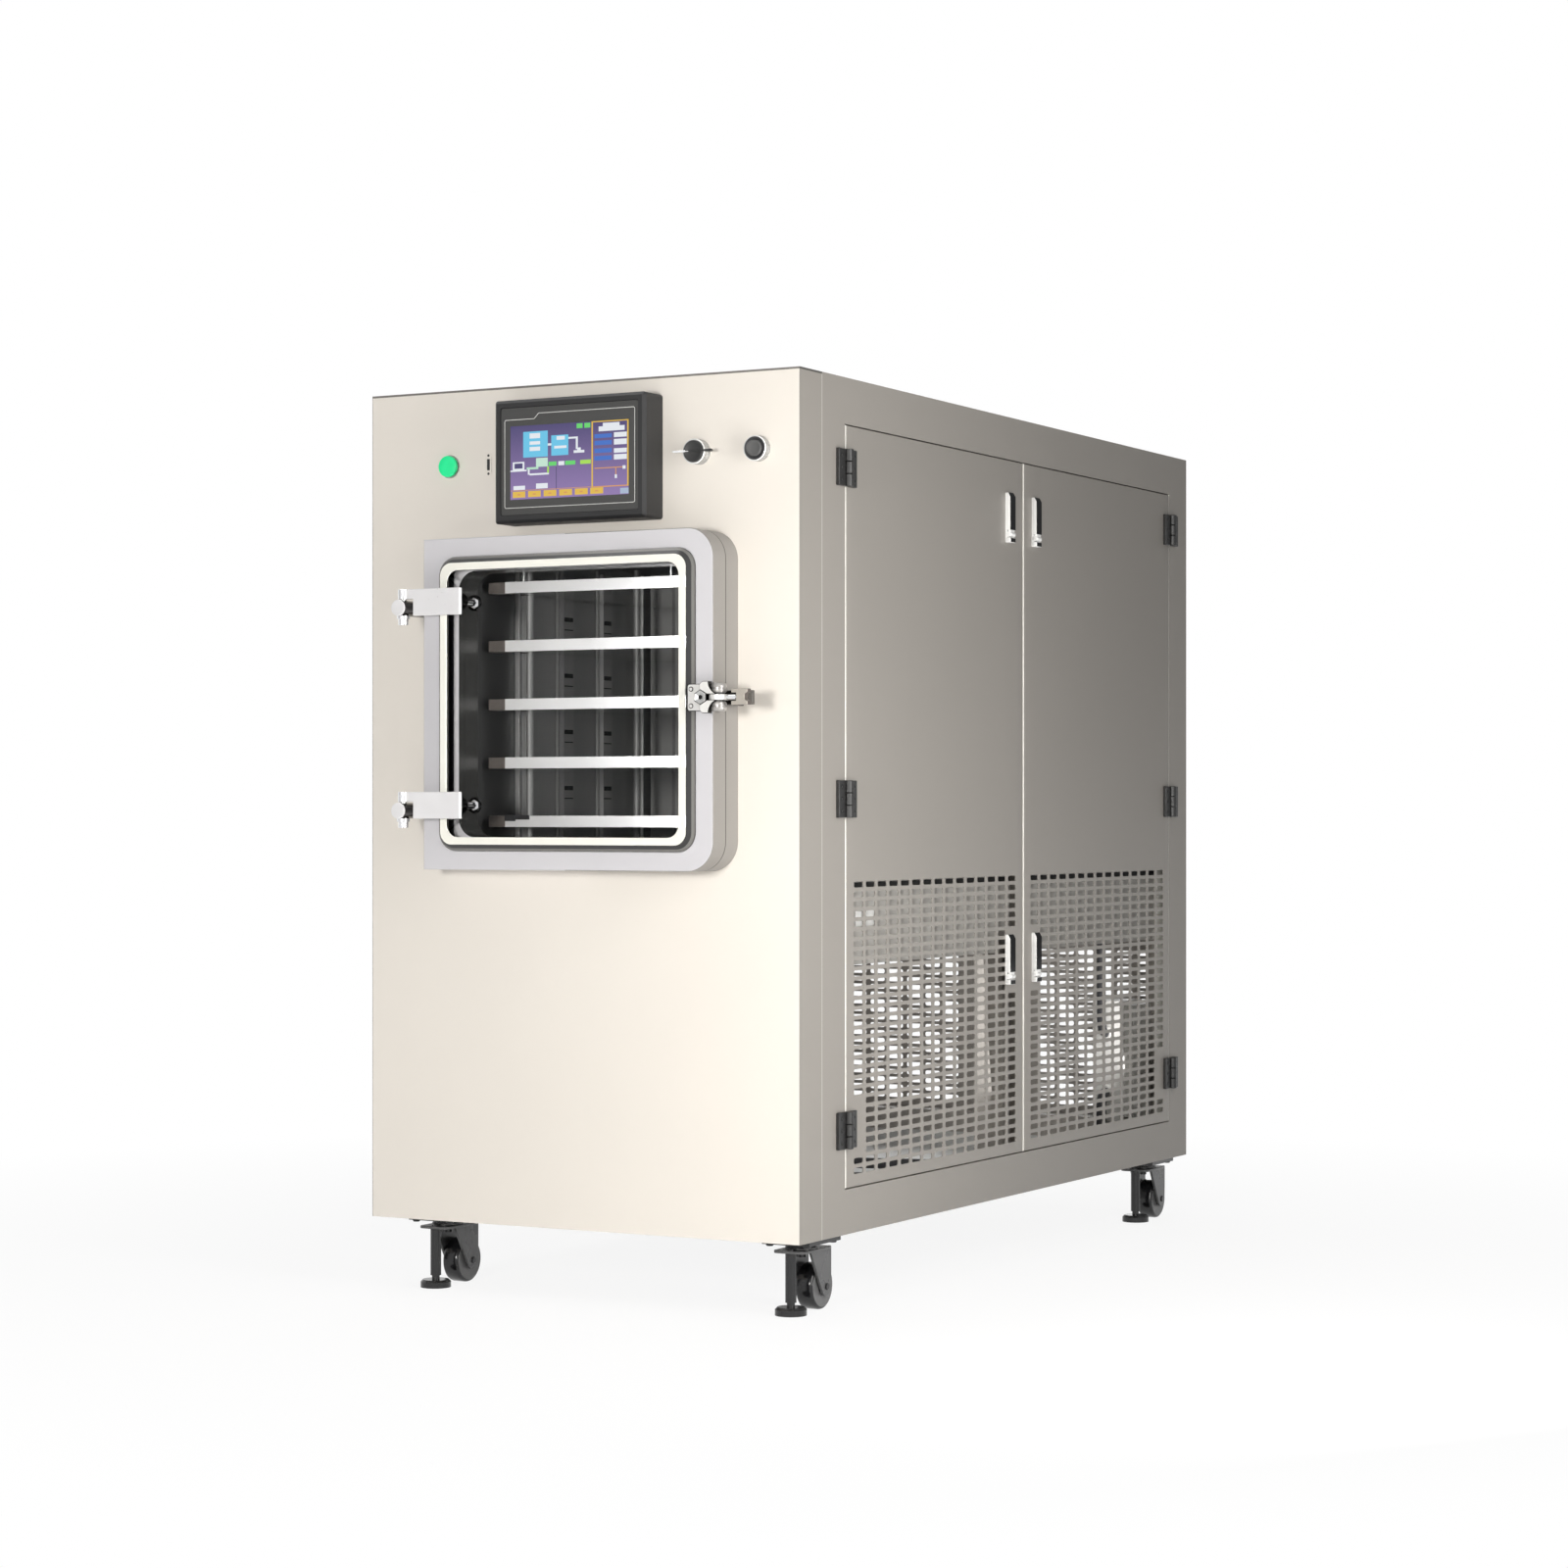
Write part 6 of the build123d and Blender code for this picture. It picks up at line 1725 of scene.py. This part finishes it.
sight_rings = [(19, 0), (19, 3.2), (17.4, 4.0), (14, 4.0), (14, 1.6)]
pump_bits = [turned("sight_ring", spot(-185, 190, 60), "front", sight_rings)]
for x in (-245, -125):
    for rise in (30, 176):
        pump_bits.append(screw(spot(x, 190, rise), "front", 5.0, proud=3.0))
plug_rings = [(13, 0), (13, 8), (11, 10), (6, 10)]
pump_bits.append(turned("fill_plug", spot(-235, 240, 192), "up", plug_rings, 6))
dress(weld("pump_fittings", pump_bits), zinc, "cabinet")
window_rings = [(14, 0), (14, 1.4), (10, 2.2), (2, 2.6)]
sight = turned("oil_window", spot(-185, 190, 60), "front", window_rings)
oil = moulded("oil_amber", (0.42, 0.24, 0.05), 0.12, 200.0, 0.00001, 0.2)
dress(sight, oil, "cabinet")

fins = [block("motor_fin", (-186.5, -183.5), (378, 526), (164, 174))]
axis = spot(-185, 0, 95)
to_axis, back_again = Matrix.Translation(-axis), Matrix.Translation(axis)
for angle in FIN_TURNS:
    fin = twin(fins[0], "motor_fin")
    fin.data.transform(back_again @ Matrix.Rotation(math.radians(angle), 4, "Y") @ to_axis)
    fins.append(fin)
handle_path = [(-185, 272, 190), (-185, 272, 216), (-185, 350, 216), (-185, 350, 192)]
handle = pipe("pump_handle", handle_path, 5.0, 10)
dress(weld("pump_fins_and_handle", fins + [handle]), pump_paint, "cabinet")

seam_rings = [(91.0, 0), (94.5, 2.0), (94.5, 8.0), (91.0, 10.0)]
shell = [turned("weld_seam", spot(-150, 770, 118), "up", seam_rings, 56)]
shell.append(soften(block("terminal_box", (-176, -124), (660, 692), (90, 160)), 3.0))
dress(weld("compressor_seam", shell), compressor_paint, "cabinet")
stubs = [
    turned("stub", spot(-180, 690, 208), "back", [(7, -6), (7, 22), (5.5, 24)], 16),
    turned("stub", spot(-70, 770, 150), "right", [(10, 0), (10, 14), (8, 16)], 16),
]
dress(weld("compressor_stubs", stubs), copper, "cabinet")

bends = []
for rise in range(30, 270, 24):
    for x in (-270, -246):
        ends = [(x, 862, rise), (x, 850, rise), (x, 850, rise + 12), (x, 862, rise + 12)]
        bends.append(pipe("bend", ends, 4.0, 5.9, 10))
dress(weld("condenser_bends", bends), copper, "cabinet")
lid_screws = [
    screw(spot(300, depth, rise), "right", 4.0, proud=1.6)
    for depth in (1152, 1212) for rise in (77, 237)
]
dress(weld("box_screws", lid_screws), zinc, "cabinet")
print("machinery pieces:", len(pump_bits) + len(fins) + len(bends) + len(lid_screws))

# %% [markdown]
# ## Cable opening
# A rubber grommet lines the opening in the back, through which the supply cable is led.

# %% Grommet
grommet = block("cable_grommet", (-229.0, -201.0), (1294.0, 1299.8), (384.0, 406.0))
cut(grommet, block("cable_hole", (-227.4, -202.6), (1290.0, 1304.0), (385.6, 404.4)))
dress(soften(grommet, 0.5), rubber_foam, "cabinet")
print("grommet", [round(v / MM, 1) for v in grommet.dimensions], "mm")

# %% [markdown]
# ## Edges of the deck
# The deck under the chamber is folded sheet. A black strip in the foam finish lies along its bend, just
# behind the top row of slots, as painted shade there, and a milky plate closes the small window in its
# skirt.

# %% Shade strip and plate
# The black strip behind the top row of slots is painted shade.
shade_strip = block("deck_trim_right", (303.2, 306.2), (126, 1225), (445.0, 452.5))
cover = block("deck_plate_right", (300.4, 302.0), (190, 262), (386, 424))
milky = moulded("milky_plate", (0.98, 0.98, 0.97), 0.4, 300.0, 0.00002, 0.02)
for piece, finish in ((soften(shade_strip, 0.8, steps=3), rubber_foam), (soften(cover, 0.4), milky)):
    dress(piece, finish, "cabinet")
    left = twin(piece, piece.name.replace("right", "left"), about_x=0.0)
    dress(left, finish, "cabinet")
print("shade_strip", round(shade_strip.dimensions.y, 2), "m long")

# %% [markdown]
# ## Finishes of the measured parts
# Every measured part gets its finish here, also the ones whose looks have been replaced above, so
# that the plain model and this one tell the same story.

# %% Dress the measured parts
FIN_PITCH = 0.0012

galvanised = plated("galvanised_pan", (0.6, 0.6, 0.59), 0.42, metallic=0.4)
box_grey = moulded("box_grey", (0.42, 0.41, 0.39), 0.45, 700.0, 0.00005)
deck_grey = moulded("deck_grey", (0.56, 0.545, 0.52), 0.5, 700.0, 0.00005)
lagging = moulded("black_lagging", (0.028, 0.028, 0.029), 0.75, 260.0, 0.0004)
fin_metal = Finish("condenser_fins", Metallic=0.8)
# Stripes along the depth stand for the fins; the dark ones are painted shade in the gaps between them.
fin_stripes_and_gap_shade = fin_metal.axes()[1].ping_pong(FIN_PITCH) * 833.0
fin_metal.drive("Base Color", fin_metal.blend(fin_stripes_and_gap_shade, (0.12, 0.125, 0.13), (0.55, 0.56, 0.56)))
fin_metal.drive("Roughness", 0.35 + 0.15 * fin_metal.noise(30.0))

BY_SLOT = {
    "cabinet_metal": frame_sheet, "frame_metal": frame_sheet, "door_metal": door_enamel,
    "chamber_steel": chamber_wall, "shelf_metal": shelf_plate, "bright_chrome": chrome,
    "clear_pane": clear, "cream_ring": ring_paint, "silicone": silicone, "panel_grey": panel_case,
    "screen_glass": black_plastic, "green_plastic": green_cap, "black_plastic": black_plastic,
    "black_metal": black_metal, "wheel_black": tyre_black, "zinc": zinc, "pump_grey": pump_paint,
    "compressor_black": compressor_paint,
}
BY_NODE = {
    "front_fascia": cabinet_sheet, "base_pan": galvanised, "equipment_deck": deck_grey,
    "shelf_posts": baffle_metal, "rear_baffle": baffle_metal, "cold_trap": lagging,
    "condenser": fin_metal, "electrical_box": box_grey,
}
for row in frame["record"]["subparts"]:
    node = frame["nodes"][row["node"]]
    finish = BY_NODE.get(row["node"], BY_SLOT[row["material_slot"]])
    node.data.materials.clear()
    node.data.materials.append(finish.material)
print("dressed:", len(frame["nodes"]), "measured parts")

# %% [markdown]
# The finished model must fill the same box as the measured one. Its box is printed.

# %% Size and finish
low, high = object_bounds()
print("finished", [round(v, 4) for v in (*low, *high)])
